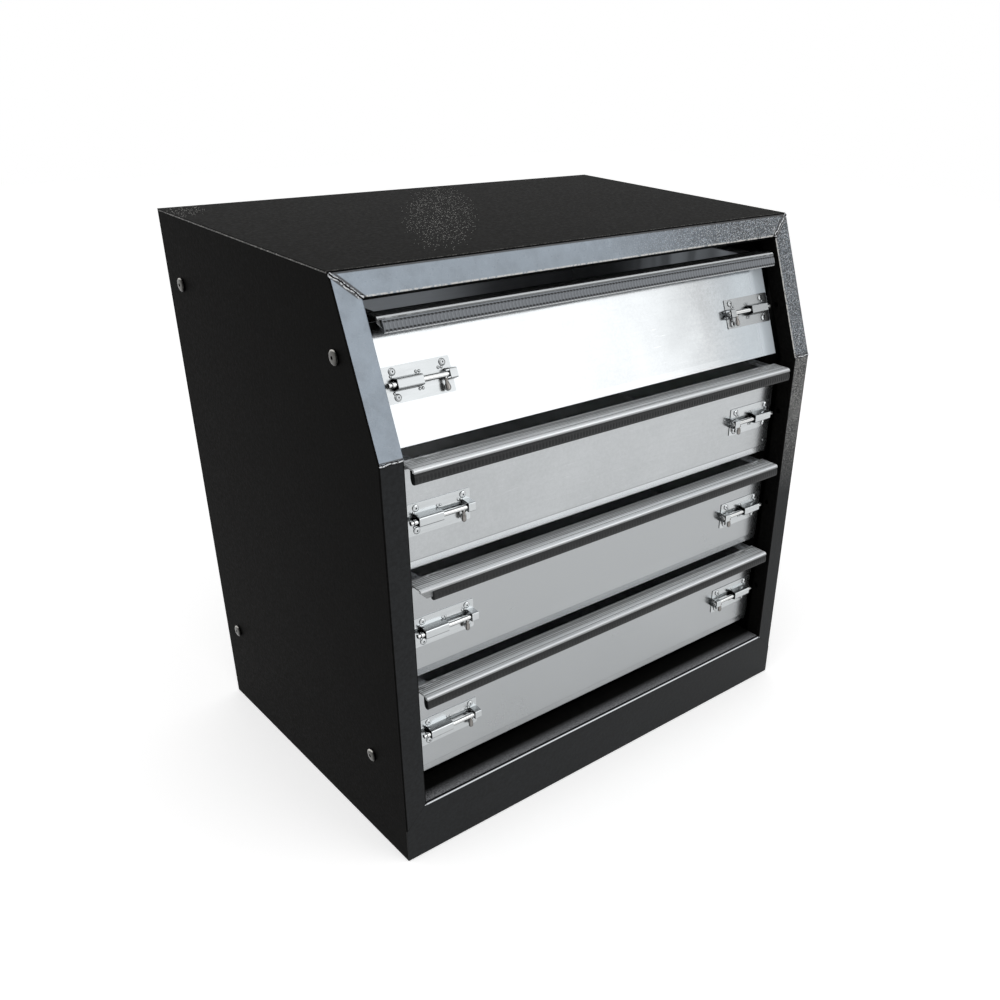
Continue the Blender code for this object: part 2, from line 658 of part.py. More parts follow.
def make_bolt_plate(name, side, number, material, carrier):
    """Riveted plate with a long guide at its outer end and a short loop at its inner end."""
    start = TRAY_INSET + PLATE_END_GAP
    high, cut = PLATE_HEIGHT / 2, PLATE_CORNER
    outline = [(start, cut - high), (start + cut, -high), (start + PLATE_LENGTH - cut, -high),
               (start + PLATE_LENGTH, cut - high), (start + PLATE_LENGTH, high - cut),
               (start + PLATE_LENGTH - cut, high), (start + cut, high), (start, high - cut)]
    outline = [(across(side, inset), z) for inset, z in outline]
    plate = prism(name, "Y", outline, -PLATE_SHEET, -CLEARANCE)
    guides = ((start + GUIDE_START, GUIDE_LENGTH), (start + PLATE_LENGTH - LOOP_LENGTH, LOOP_LENGTH))
    extras = []
    for inset, length in guides:
        ends = sorted((across(side, inset), across(side, inset + length)))
        extras.append(prism("guide", "X", guide_outline(), *ends))
    crown = PLATE_SHEET + RIVET_HEIGHT
    profile = [(0, PLATE_SHEET / 2), (RIVET_RADIUS, PLATE_SHEET / 2), (RIVET_RADIUS, PLATE_SHEET + RIVET_HEIGHT / 3),
               ((RIVET_RADIUS + RIVET_PIT) / 2, crown), (RIVET_PIT, crown), (0, crown - RIVET_PIT_DEPTH)]
    for inset in (start + RIVET_OUTER_END, start + PLATE_LENGTH - RIVET_INNER_END):
        for z in (RIVET_EDGE - high, high - RIVET_EDGE):
            rivet = turned("rivet", profile, ROUND_SIDES)
            place = Matrix.Translation((across(side, inset), 0, z)) @ Matrix.Rotation(math.pi / 2, 4, "X")
            extras.append(moved(rivet, place))
    combine(plate, extras, "UNION")
    moved(plate, face_frame(number) @ Matrix.Translation((0, 0, bolt_height(number))))
    return finish(plate, material, carrier)


def make_bolt_rod(name, side, number, material, carrier):
    """Round bolt with a hanging knob, drawn back. Its origin lies on its own line of travel."""
    length = PLATE_LENGTH + ROD_TAIL - ROD_TIP_SETBACK
    knob_at = PLATE_LENGTH - LOOP_LENGTH - KNOB_GAP - KNOB_RADIUS - ROD_TIP_SETBACK
    tip = ROD_RADIUS - ROD_CHAMFER
    rod = turned(name, [(0, 0), (tip, 0), (ROD_RADIUS, ROD_CHAMFER), (ROD_RADIUS, length - ROD_CHAMFER),
                        (tip, length), (0, length)], ROUND_SIDES)
    moved(rod, Matrix.Rotation(-side * math.pi / 2, 4, "Y"))
    knob = turned("knob", [(0, 0), (KNOB_NECK, 0), (KNOB_NECK, KNOB_NECK_DROP),
                           (KNOB_RADIUS, KNOB_NECK_DROP + KNOB_NECK / 2),
                           (KNOB_RADIUS, KNOB_DROP - KNOB_NECK / 2), (KNOB_NECK, KNOB_DROP),
                           (0, KNOB_DROP)], ROUND_SIDES)
    hang = Matrix.Translation((-side * knob_at, 0, 0)) @ Matrix.Rotation(math.pi, 4, "X")
    combine(rod, [moved(knob, hang)], "UNION")
    tip_inset = TRAY_INSET + PLATE_END_GAP + ROD_TIP_SETBACK
    place = Vector((across(side, tip_inset), -ROD_STANDOFF, bolt_height(number)))
    rod.location = face_frame(number) @ place
    rod.rotation_euler = face_frame(number).to_euler()
    return finish(rod, material, carrier)


def make_drawer(number, materials):
    """One drawer with its tray, handle, grip, runners and slide bolts."""
    centre = (0, runner_front(number), drawer_bottom(number) + RUNNER_RISE)
    carrier = make_carrier(f"drawer_{number}_travel", centre)
    middle_carrier = make_carrier(f"middle_slides_{number}_travel", centre)
    make_tray(number, materials["tray"], carrier)
    make_handle(number, materials["handle"], carrier)
    make_grip(number, materials["grip"], carrier)
    cabinet, middle, drawer = runner_sections()
    for word, side in SIDES.items():
        runner_part(f"cabinet_slide_{number}_{word}", side, number, cabinet, materials["runner"])
        runner_part(f"middle_slide_{number}_{word}", side, number, middle, materials["runner"], middle_carrier)
        runner_part(f"drawer_slide_{number}_{word}", side, number, drawer, materials["runner"], carrier)
        make_bolt_plate(f"bolt_plate_{number}_{word}", side, number, materials["bolt"], carrier)
        make_bolt_rod(f"bolt_rod_{number}_{word}", side, number, materials["rod"], carrier)


def make_materials():
    return {
        "cabinet": make_material("black_powder_coat", (0.012, 0.012, 0.011), 0.35, 0.0),
        "frame": make_material("black_uprights", (0.014, 0.014, 0.014), 0.40, 0.0),
        "runner": make_material("bright_zinc", (0.55, 0.56, 0.58), 0.30, 1.0),
        "tray": make_material("mill_aluminium", (0.74, 0.76, 0.78), 0.30, 1.0),
        "handle": make_material("handle_aluminium", (0.80, 0.82, 0.84), 0.22, 1.0),
        "grip": make_material("black_rubber", (0.035, 0.036, 0.038), 0.60, 0.0),
        "bolt": make_material("stainless_plate", (0.66, 0.65, 0.62), 0.25, 1.0),
        "rod": make_material("stainless_rod", (0.72, 0.72, 0.71), 0.15, 1.0),
    }


def main():
    clear_scene()
    materials = make_materials()
    for word, side in SIDES.items():
        make_side_panel(f"side_panel_{word}", side, materials["cabinet"])
        make_runner_frame(f"runner_frame_{word}", side, materials["frame"])
    make_top_panel(materials["cabinet"])
    make_bottom_panel(materials["cabinet"])
    make_back_panel(materials["cabinet"])
    for number in range(1, DRAWER_COUNT + 1):
        make_drawer(number, materials)


main()
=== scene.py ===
"""Looks of the canopy drawer unit: painted cabinet, aluminium drawers, rubber grips and slide bolts.

Metres, +Z up. X runs across the cabinet with zero at its middle, the drawers open towards -Y,
and Z is zero on the underside. A drawer's number counts down from the top one, whose face leans back.
"""

import math

import bmesh
import bpy
from bpy.props import FloatProperty, FloatVectorProperty, PointerProperty
from mathutils import Matrix, Vector


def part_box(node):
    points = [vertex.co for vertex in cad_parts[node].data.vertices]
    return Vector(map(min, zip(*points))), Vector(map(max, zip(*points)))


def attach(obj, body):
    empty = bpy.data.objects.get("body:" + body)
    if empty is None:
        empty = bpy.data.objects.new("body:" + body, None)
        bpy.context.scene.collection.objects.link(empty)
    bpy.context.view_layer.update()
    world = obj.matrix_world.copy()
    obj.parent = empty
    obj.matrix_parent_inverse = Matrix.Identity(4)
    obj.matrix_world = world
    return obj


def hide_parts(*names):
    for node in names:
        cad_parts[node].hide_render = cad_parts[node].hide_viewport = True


bl_info = {
    "name": "Canopy drawer unit",
    "version": (1, 0, 0),
    "blender": (4, 5, 0),
    "location": "View3D > Sidebar > Drawer unit",
    "description": "Builds the painted cabinet, its drawers, grips and slide bolts around the solids",
    "category": "Add Mesh",
}

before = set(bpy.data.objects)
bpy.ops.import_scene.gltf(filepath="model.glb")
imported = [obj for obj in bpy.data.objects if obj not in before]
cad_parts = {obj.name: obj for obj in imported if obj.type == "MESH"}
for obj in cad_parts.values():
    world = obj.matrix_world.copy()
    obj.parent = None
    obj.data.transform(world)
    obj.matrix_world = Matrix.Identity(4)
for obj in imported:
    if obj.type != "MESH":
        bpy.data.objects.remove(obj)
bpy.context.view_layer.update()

# Places that the solids fix
HALF_WIDTH = 0.425
HEIGHT = 0.875
KINK = 0.655
SETBACK = 0.085
FRONT = -0.29825
FACE_DEPTH = 0.031
FLANGE = 0.037
TOP_FLANGE = 0.035
BOTTOM_FLANGE = 0.096
TRAY_INSET = 0.048
PRESSED_LINE = 0.012
DRAWER_PITCH = 0.176
LOWEST_BOTTOM = 0.129
TOP_BOTTOM = 0.657
DRAWER_GAP = 0.018
TOP_GAP = 0.026
HANDLE_REACH = 0.033
NOSE_RISE = 0.004
BOLT_SHARE = 0.464
SLANT = math.atan2(SETBACK, HEIGHT - KINK)
SLANT_LENGTH = math.hypot(SETBACK, HEIGHT - KINK)
LEANING = Vector((0, -math.cos(SLANT), math.sin(SLANT)))
SIDES = {"left": -1, "right": 1}
DRAWERS = (1, 2, 3, 4)

# The photograph's camera, and each lamp's size, place and target
CAMERA_ROWS = (
    (0.7440863847732544, 0.30621054768562317, -0.593776524066925, -1.014623999595642),
    (-0.6671215295791626, 0.3882315456867218, -0.6357870697975159, -1.3427141904830933),
    (0.03583807870745659, 0.8692015409469604, 0.49315744638442993, 1.1451175212860107),
    (0, 0, 0, 1),
)
CAMERA_SENSOR = 36
CAMERA_LENS = 36.66841506958008
CAMERA_SHIFT = (-0.1021910235285759, 0.0974971130490303)
SOFTBOX = ((2.56, 2.0), (1.39, -2.93, 1.79), (-0.075, -0.20, 0.99))
FILL = ((2.4, 2.4), (-1.3, -0.6, 3.0), (0, 0, 0.3))
FLOOR_SIZE = 14
FLOOR_LIFT = 0.42

# Finishes, small roundings and beads
PALE_GRAIN = 0.005
# Turn of the top sheet's patches of painted glints
GLINT_TURN = 0.98
# Strength of the painted glow inside the top tray
WALL_GLOW = 0.15
EDGE_ROUNDING = 0.0004
BEAD_SIDES = 16
BEAD_FLAT = 0.62
TOP_BEAD = 0.0010

# Each bead's share of the width, and the levels between which its crest carries a pale painted highlight
BEADS = {"top_mitre": (1.05, 0.5, 0.9), "kink": (0.85, 0.9, 1), "bottom_corner": (0.75, 0.9, 1),
         "top_corner": (1.1, 0.9, 1), "bottom_mitre": (0.35, 1, 1)}

# A colour Mix node's sockets
MIX_SHARE, MIX_FIRST, MIX_SECOND, MIX_RESULT = 0, 6, 7, 2


def colour_value(name, description, default):
    return FloatVectorProperty(name=name, description=description, default=default, min=0, max=1,
                               subtype="COLOR")


def number_value(name, description, default, low, high, unit="LENGTH"):
    return FloatProperty(name=name, description=description, unit=unit, default=default, min=low, max=high)


class CabinetLooks(bpy.types.PropertyGroup):
    """Paint, folds and welds of the cabinet."""

    coat: colour_value("Coat", "Colour of the powder coat", (0.0045, 0.0044, 0.0042))
    # The leaning coat's pale blue-grey is a painted sheen on the same black paint.
    lean_sheen: colour_value("Leaning coat", "Colour of the coat on the leaning front", (0.24, 0.285, 0.335))
    fold: number_value("Fold", "Radius of the cabinet's outer folds", 0.0018, 0.0002, 0.003)
    bead: number_value("Bead", "Half width of the weld beads", 0.0030, 0.0005, 0.004)
    ripple: number_value("Ripple", "Distance between a bead's ripples", 0.0024, 0.001, 0.01)


class DrawerLooks(bpy.types.PropertyGroup):
    """Metal of the drawers, and the ribs of their grips."""

    sheet: colour_value("Sheet", "Colour of the aluminium sheet", (0.42, 0.435, 0.445))
    handle: colour_value("Handle", "Colour of the handles", (0.82, 0.85, 0.87))
    rubber: colour_value("Rubber", "Colour of the grips", (0.018, 0.019, 0.020))
    rib_pitch: number_value("Rib pitch", "Distance between the grips' cross ribs", 0.0058, 0.002, 0.02)
    rib_height: number_value("Rib height", "Height of the cross ribs", 0.0011, 0, 0.0015)


class BoltLooks(bpy.types.PropertyGroup):
    """Pressed plates and round rods of the slide bolts."""

    steel: colour_value("Steel", "Colour of the stainless plates", (0.50, 0.52, 0.53))
    rod: colour_value("Rod", "Colour of the rods", (0.60, 0.61, 0.61))
    plate_length: number_value("Plate length", "Length of a slide bolt's plate", 0.105, 0.06, 0.15)
    plate_height: number_value("Plate height", "Height of a slide bolt's plate", 0.047, 0.03, 0.06)
    barrel_length: number_value("Barrel length", "Length of the guide round the rod", 0.039, 0.01, 0.06)
    rod_radius: number_value("Rod radius", "Radius of the sliding rod", 0.004, 0.002, 0.005)


class StageLooks(bpy.types.PropertyGroup):
    """Lamps, floor and background."""

    softbox: number_value("Softbox", "Power of the large front lamp", 24, 0, 500, "POWER")
    fill: number_value("Fill", "Power of the overhead lamp", 16, 0, 500, "POWER")
    daylight: number_value("Daylight", "Strength of the even light from all round", 0.62, 0, 1, "NONE")
    floor: colour_value("Floor", "Colour of the floor", (0.93, 0.93, 0.93))


class CanopyDrawerLooks(bpy.types.PropertyGroup):
    """All the values that the panel lists."""

    cabinet: PointerProperty(type=CabinetLooks)
    drawers: PointerProperty(type=DrawerLooks)
    bolts: PointerProperty(type=BoltLooks)
    stage: PointerProperty(type=StageLooks)


def looks():
    return bpy.context.scene.canopy_drawers


# Places worked out from the solids' values

def at(x=0, y=0, z=0, turn=0, axis="X"):
    """A place with a turn about one axis."""
    return Matrix.Translation((x, y, z)) @ Matrix.Rotation(turn, 4, axis)


def drawer_bottom(number):
    return TOP_BOTTOM - (number - 1) * DRAWER_PITCH


def drawer_top(number):
    if number == 1:
        return HEIGHT - TOP_FLANGE * math.cos(SLANT) - TOP_GAP
    return drawer_bottom(number) + DRAWER_PITCH - DRAWER_GAP


def slant_y(height, depth=0):
    return FRONT + depth / math.cos(SLANT) + (height - KINK) * math.tan(SLANT)


def face_y(number, height):
    return slant_y(height, FACE_DEPTH) if number == 1 else FRONT + FACE_DEPTH


def bolt_frame(number):
    """Frame on a drawer's face at its slide bolts' height: X across, -Y out of the face, Z up along it."""
    bottom, lean = drawer_bottom(number), SLANT if number == 1 else 0
    height = BOLT_SHARE * (drawer_top(number) - bottom) / math.cos(lean)
    return at(0, face_y(number, bottom), bottom, -lean) @ at(z=height)


def on_slant(x, along, out=0):
    """Point on the leaning front, this far up along it from the kink and this far out of it."""
    y = FRONT + along * math.sin(SLANT) - out * math.cos(SLANT)
    return Vector((x, y, KINK + along * math.cos(SLANT) + out * math.sin(SLANT)))


# Modelling by hand in code

def select_only(*items):
    bpy.ops.object.select_all(action="DESELECT")
    for item in items:
        item.select_set(True)
    bpy.context.view_layer.objects.active = items[0]


def edit(item):
    select_only(item)
    bpy.ops.object.mode_set(mode="EDIT")


def leave():
    bpy.ops.object.mode_set(mode="OBJECT")


def pick(item, test, kind="faces"):
    """In edit mode, selects the vertices, edges or faces for which the test holds."""
    mesh = bmesh.from_edit_mesh(item.data)
    for part in (*mesh.faces, *mesh.edges, *mesh.verts):
        part.select = False
    mesh.select_mode = {kind[:-1].upper()}
    bpy.context.tool_settings.mesh_select_mode = tuple(kind == each for each in ("verts", "edges", "faces"))
    found = [part for part in getattr(mesh, kind) if test(part)]
    for part in found:
        part.select = True
    mesh.select_flush_mode()
    bmesh.update_edit_mesh(item.data)
    return len(found)


def rounded(width, segments, clamp=False):
    """Rounds the selected edges."""
    bpy.ops.mesh.bevel(offset=width, segments=segments, affect="EDGES", clamp_overlap=clamp)


def face_outwards():
    bpy.ops.mesh.select_all(action="SELECT")
    bpy.ops.mesh.normals_make_consistent(inside=False)


def bezel(item, width):
    """Rounds all long, sharp outward edges by the width."""
    edit(item)
    if pick(item, lambda edge: len(edge.link_faces) == 2 and edge.is_convex and edge.calc_length() > 0.02 and
            edge.calc_face_angle(0) > math.radians(60), "edges"):
        rounded(width, 2, True)
    leave()
    return item


def changed(item, kind, **settings):
    """Applies a modifier with these settings."""
    modifier = item.modifiers.new(kind.lower(), kind)
    for key, value in settings.items():
        setattr(modifier, key, value)
    select_only(item)
    bpy.ops.object.modifier_apply(modifier=modifier.name)
    return item


def apply_place(item):
    select_only(item)
    bpy.ops.object.transform_apply(location=True, rotation=True, scale=True)
    return item


def settle(item):
    """Puts the object's place into its mesh and turns its faces outwards."""
    edit(apply_place(item))
    face_outwards()
    leave()
    return item


def named(item, name):
    item.name = item.data.name = name
    return item


def placed(item, matrix):
    item.data.transform(matrix)
    if matrix.determinant() < 0:
        item.data.flip_normals()
    return item


def copy_of(item, name, matrix=Matrix.Identity(4)):
    """A copy with its own mesh, moved by the matrix."""
    twin = bpy.data.objects.new(name, item.data.copy())
    bpy.context.scene.collection.objects.link(twin)
    return placed(twin, matrix)


def copy_of_node(node, name):
    """A solid's mesh with its loose triangles merged and its flat faces whole."""
    item = copy_of(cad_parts[node], name)
    edit(item)
    bpy.ops.mesh.select_all(action="SELECT")
    bpy.ops.mesh.remove_doubles(threshold=0.00001)
    bpy.ops.mesh.dissolve_limited(angle_limit=math.radians(0.5))
    face_outwards()
    leave()
    return item


def joined(name, items):
    select_only(*items)
    if len(items) > 1:
        bpy.ops.object.join()
    return named(items[0], name)


def added(primitive, **values):
    """A mesh object that starts from one of the basic forms."""
    bpy.ops.object.select_all(action="DESELECT")
    primitive(**values)
    return bpy.context.object


def block(low, high):
    """A box between two corners, from a cube."""
    low, high = Vector(low), Vector(high)
    item = added(bpy.ops.mesh.primitive_cube_add, size=1, location=(low + high) / 2)
    item.scale = high - low
    return apply_place(item)


def turned(profile, sides):
    """A round form about Z: a disc that is extruded and scaled along (radius, height) points."""
    radius, level = profile[0]
    item = added(bpy.ops.mesh.primitive_circle_add, vertices=sides, radius=radius, fill_type="NGON",
                 location=(0, 0, level))
    edit(apply_place(item))
    bpy.ops.mesh.select_all(action="SELECT")
    for next_radius, next_level in profile[1:]:
        bpy.ops.mesh.extrude_region_move(TRANSFORM_OT_translate={"value": (0, 0, next_level - level)})
        share = next_radius / radius
        bpy.ops.transform.resize(value=(share, share, 1), center_override=(0, 0, next_level))
        radius, level = next_radius, next_level
    leave()
    return settle(item)


def cut(item, tool):
    changed(item, "BOOLEAN", operation="DIFFERENCE", object=tool, solver="EXACT")
    bpy.data.objects.remove(tool)
    return item


def smooth(item, degrees=35):
    """Smooth shading up to an angle, with broad faces kept flat."""
    select_only(item)
    bpy.ops.object.shade_smooth_by_angle(angle=math.radians(degrees))
    return changed(item, "WEIGHTED_NORMAL", keep_sharp=True, weight=90)


def dress(item, finishes, body, slot, *solids):
    """Gives a finished piece its materials and body, and hides the solids that it stands for. The slot is not
    used.
    """
    made = shared_materials()
    item.data.materials.clear()
    for finish in finishes.split():
        item.data.materials.append(made[finish])
    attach(item, body)
    if solids:
        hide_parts(*solids)
    return item


# Node materials

def scaled(colour, factor):
    return tuple(min(channel * factor, 1) for channel in colour)


class Field:
    """A value over the surface. Arithmetic with it adds nodes."""

    def __init__(self, nodes, socket):
        self.nodes, self.socket = nodes, socket

    def math(self, operation, other=0):
        return self.nodes.field("Math", 0, {0: self, 1: other}, operation=operation)

    def __add__(self, other):
        return self.math("ADD", other)

    def __sub__(self, other):
        return self.math("SUBTRACT", other)

    def __rsub__(self, other):
        return self.nodes.field("Math", 0, {0: other, 1: self}, operation="SUBTRACT")

    def __mul__(self, other):
        return self.math("MULTIPLY", other)

    def __mod__(self, other):
        return self.math("MODULO", other)

    def __abs__(self):
        return self.math("ABSOLUTE")

    def most(self, other):
        return self.math("MAXIMUM", other)

    def ranged(self, low, high, to_low=0, to_high=1, smooth_step=False):
        """Maps the value from one range to another, clamped."""
        values = {"Value": self, "From Min": low, "From Max": high, "To Min": to_low, "To Max": to_high}
        kind = "SMOOTHSTEP" if smooth_step else "LINEAR"
        return self.nodes.field("MapRange", "Result", values, interpolation_type=kind)

    def near(self, target, reach):
        """One where the value is at its target, falling to zero within the reach."""
        return abs(self - target).ranged(reach * 0.4, reach, 1, 0)

    def bump(self, strength, distance, **after):
        values = {"Height": self, "Strength": strength, "Distance": distance, **after}
        return self.nodes.field("Bump", "Normal", values)


class Nodes:
    """Adds nodes to one tree. Values are numbers, colours or fields."""

    def __init__(self, tree):
        self.tree = tree

    def put(self, socket, value):
        if isinstance(value, Field):
            self.tree.links.new(value.socket, socket)
        else:
            socket.default_value = value

    def field(self, kind, output, values=None, **settings):
        """Adds a node, fills its inputs by name or number and gives one of its outputs."""
        made = self.tree.nodes.new(f"ShaderNode{kind}")
        for key, value in settings.items():
            setattr(made, key, value)
        for key, value in (values or {}).items():
            self.put(made.inputs[key], value)
        return Field(self, made.outputs[output])

    def place(self, scale=(1, 1, 1), turn=(0, 0, 0), start=(0, 0, 0)):
        """Object coordinates through a Mapping node."""
        values = {"Scale": scale, "Rotation": turn, "Location": start}
        return self.field("Mapping", "Vector", {"Vector": self.field("TexCoord", "Object"), **values})

    def axes(self, kind="Object"):
        """X, Y and Z of the place on the object, or of the surface's direction there."""
        values = {0: self.field("TexCoord", kind)}
        return [self.field("SeparateXYZ", axis, values) for axis in "XYZ"]

    def noise(self, scale, detail=2, rough=0.5, turn=(0, 0, 0), start=(0, 0, 0)):
        """Noise over the object. A scale of three numbers stretches it."""
        stretch, scale = (scale, 1) if isinstance(scale, tuple) else ((1, 1, 1), scale)
        values = {"Scale": scale, "Detail": detail, "Roughness": rough}
        return self.field("TexNoise", "Fac", {"Vector": self.place(stretch, turn, start), **values})

    def cells(self, scale, output="Distance"):
        return self.field("TexVoronoi", output, {"Vector": self.place(), "Scale": scale})

    def mix(self, share, first, second, blend="MIX"):
        first, second = ((*each, 1) if isinstance(each, tuple) else each for each in (first, second))
        values = {MIX_SHARE: share, MIX_FIRST: first, MIX_SECOND: second}
        return self.field("Mix", MIX_RESULT, values, data_type="RGBA", blend_type=blend)

    def seen_directly(self):
        """One for rays from the camera and through or off glass and metal, else zero."""
        camera, glossy, through = (self.field("LightPath", f"Is {kind} Ray")
                                   for kind in ("Camera", "Glossy", "Transmission"))
        return camera.most(glossy).most(through)


class Paint(Nodes):
    """A material with its colour laid on in layers. A number as a colour is the base colour times it."""

    def __init__(self, name, colour, roughness, metallic=0, specular=0.5):
        self.material = bpy.data.materials.new(name)
        self.material.use_nodes = True
        self.material.diffuse_color = (*colour, 1)
        super().__init__(self.material.node_tree)
        self.colour = self.shade = colour
        self.wire(Base_Color=(*colour, 1), Roughness=roughness, Metallic=metallic,
                  Specular_IOR_Level=specular)

    def wire(self, **values):
        """Puts values on the shader's own sockets, or links fields to them."""
        for key, value in values.items():
            self.put(self.tree.nodes["Principled BSDF"].inputs[key.replace("_", " ")], value)

    def tint(self, colour):
        return scaled(self.colour, colour) if isinstance(colour, (int, float)) else colour

    def between(self, share, low, high):
        """Starts the shade as a blend of two colours."""
        self.shade = self.mix(share, self.tint(low), self.tint(high))

    def over(self, share, colour, blend="MIX"):
        """Lays a colour over the shade where the share says so."""
        self.shade = self.mix(share, self.shade, self.tint(colour), blend)

    def done(self, **values):
        self.wire(Base_Color=self.shade, **values)
        return self.material


def coat(name, colour, roughness, specular, grain, peel=0.25):
    """Powder coat: fine orange peel, pale grains, dust and a few rubbed marks."""
    paint = Paint(name, colour, roughness, 0, specular)
    fine, middle = paint.noise(620, 3, 0.6), paint.noise(190)
    grains = paint.cells(520).ranged(0.12, 0.42, 1, 0) * fine.ranged(0.5, 0.68)
    rubbed = paint.noise((12, 12, 27), 5, 0.65).ranged(0.56, 0.74)
    paint.between(middle.ranged(0.35, 0.7), 0.75, 1.3)
    paint.over(grains, tuple(min(channel + PALE_GRAIN * grain, 1) for channel in colour))
    paint.over(rubbed * 0.25, 1.9)
    paint.wire(Roughness=middle.ranged(0.3, 0.75, roughness - 0.06, roughness + 0.1),
               Normal=middle.bump(peel, 0.0009, Normal=fine.bump(0.32, 0.0005)))
    return paint


def front_coat(colour):
    """The coat on the upright front: a paler, bluish painted sheen, with pale grains at the right that are
    painted glints and a bright lower edge that is a painted highlight.
    """
    paint = coat("front_coat", colour, 0.42, 0.12, 2.0)
    x, _, z = paint.axes()
    # Painted glints and a painted sheen on the right flange's upper part.
    right = x.ranged(0.36, 0.392, 0, 1, True) * z.ranged(0.40, 0.57)
    paint.over(paint.noise(430, 3, 0.75).ranged(0.47, 0.60) * right, (0.30, 0.30, 0.29))
    paint.over(right * 0.2, (0.20, 0.20, 0.20))
    # Painted highlight along the bottom flange's top edge.
    sill = z.near(BOTTOM_FLANGE - 0.0018, 0.0017) * abs(x).ranged(0.386, 0.389, 1, 0)
    paint.over(sill, (0.86, 0.88, 0.92))
    return paint.done()


def leaning_coat(colour):
    """The coat on the leaning front: its pale blue-grey colour is a painted sheen, lighter towards the left,
    with coarse dark grains that grow towards the right, painted glints at the right and painted shade beside
    the weld beads.
    """
    paint = coat("leaning_coat", colour, 0.32, 0.5, 1.5)
    x, _, z = paint.axes()
    width, opening = abs(x), HALF_WIDTH - FLANGE
    low_edge = on_slant(0, SLANT_LENGTH - TOP_FLANGE).z
    rightness = x.ranged(-0.05, 0.33, 0, 1, True)
    paint.between(paint.noise((11, 11, 11), 3).ranged(0.35, 0.7, 0, 0.35), 1.12, 0.80)
    # Painted sheen, lighter towards the left.
    paint.over(x.ranged(-0.42, -0.05, 0.5, 0), 1.32)
    blotches = paint.noise((34, 34, 34), 3, 0.55)
    paint.over(blotches.ranged(0.48, 0.66, 0, 0.45), 0.76)
    paint.over(blotches.ranged(0.42, 0.32, 0, 0.40), 1.40)
    paint.over(paint.noise(520, 4, 0.8).ranged(0.60, 0.52) * rightness.ranged(0, 1, 0.08, 1), 0.08)
    # Painted glints, which grow towards the right.
    paint.over(paint.cells(430).ranged(0.20, 0.36, 1, 0) * rightness * 0.85, (0.62, 0.65, 0.68))
    inner = z.near(low_edge + 0.0006, 0.0022) * width.ranged(opening - 0.001, opening, 1, 0)
    sides = x.near(opening + 0.0006, 0.0018) * z.ranged(low_edge, 0.86, 1, 0)
    broken = paint.noise(300).ranged(0.36, 0.52)
    paint.over(inner.most(sides) * broken * 0.85, (0.66, 0.65, 0.62))
    rise = (z - low_edge) * (FLANGE / (TOP_FLANGE * math.cos(SLANT)))
    off = abs(width - opening - rise) * 0.69
    mitre = off.near(0.0034, 0.0022) * z.ranged(low_edge - 0.001, low_edge)
    seams = mitre.most(z.near(KINK + 0.0030, 0.0011)).most(z.ranged(HEIGHT - 0.0042, HEIGHT - 0.0032))
    # Painted shade: dark lines beside the mitre beads, just above the kink bead and along the top fold.
    paint.over(seams * 0.92, (0.008, 0.008, 0.009))
    return paint.done()


def top_coat(colour):
    """The coat on the top sheet, with two patches of bright specks that are painted glints, and a front fold
    with pale specks.
    """
    paint = coat("top_coat", colour, 0.55, 0.010, 1.0, 0.08)
    painted_glints(paint, (-0.075, 0.07), (0.30, 0.058))
    painted_glints(paint, (-0.400, 0.262), (0.055, 0.030))
    y, fold = paint.axes()[1], FRONT + SETBACK
    paint.over(y.ranged(fold + 0.0022, fold + 0.0012), (0.004, 0.004, 0.004))
    specks = paint.noise(420, 3, 0.8).ranged(0.50, 0.62)
    paint.over(y.near(fold + 0.0030, 0.0014) * specks * 0.8, (0.36, 0.35, 0.33))
    return paint.done()


def painted_glints(paint, centre, reach):
    """Adds painted glints: bright specks round one place on the top sheet, in a turned patch."""
    x, y, _ = paint.axes()
    across, along = x - centre[0], y - centre[1]
    cosine, sine = math.cos(GLINT_TURN), math.sin(GLINT_TURN)
    long_way = across * (cosine / reach[0]) + along * (sine / reach[0])
    short_way = across * (-sine / reach[1]) + along * (cosine / reach[1])
    near = (long_way * long_way + short_way * short_way).ranged(0, 1.3, 0.75, 0, True)
    chance = paint.field("SeparateColor", 0, {0: paint.cells(330, "Color")})
    spots = paint.cells(330).ranged(0.12, 0.26, 1, 0) * chance.math("LESS_THAN", near)
    paint.over(spots, (0.80, 0.79, 0.76))


def bead_coat():
    """The coat on a weld bead's crest: a pale painted highlight, glossy, with dark gaps."""
    paint = Paint("bead_coat", (0.2, 0.21, 0.22), 0.25, 0, 0.6)
    grain = paint.noise(300, 3, 0.7)
    paint.between(grain.ranged(0.42, 0.50), (0.02, 0.021, 0.022), (0.66, 0.68, 0.70))
    return paint.done(Roughness=grain.ranged(0.3, 0.7, 0.16, 0.34), Normal=grain.bump(0.3, 0.0006))


def edge_coat():
    """The coat on the rough seam between the top and side sheets, pale in specks."""
    paint = Paint("edge_coat", (0.1, 0.1, 0.1), 0.4, 0, 0.3)
    grain = paint.noise(420, 3, 0.8)
    paint.between(grain.ranged(0.50, 0.64), (0.008, 0.008, 0.008), (0.34, 0.33, 0.31))
    return paint.done(Normal=grain.bump(0.3, 0.0006))


def sill_coat(colour):
    """The coat on the bottom sheet, with a pale, grainy strip of painted light on top of the front edge's
    return that fades towards the rear.
    """
    paint = coat("sill_coat", colour, 0.45, 0.06, 3.0)
    _, y, z = paint.axes()
    grain = paint.noise(480, 3, 0.75).ranged(0.42, 0.60, 0.25, 1)
    # Painted light on the return's top, fading towards the rear.
    lit_strip = (z.ranged(BOTTOM_FLANGE - 0.0006, BOTTOM_FLANGE - 0.0002) *
              y.ranged(FRONT + 0.003, FRONT + 0.028, 1, 0))
    paint.over(grain * lit_strip * y.ranged(FRONT + 0.0035, FRONT + 0.0060), (0.46, 0.47, 0.49))
    return paint.done()


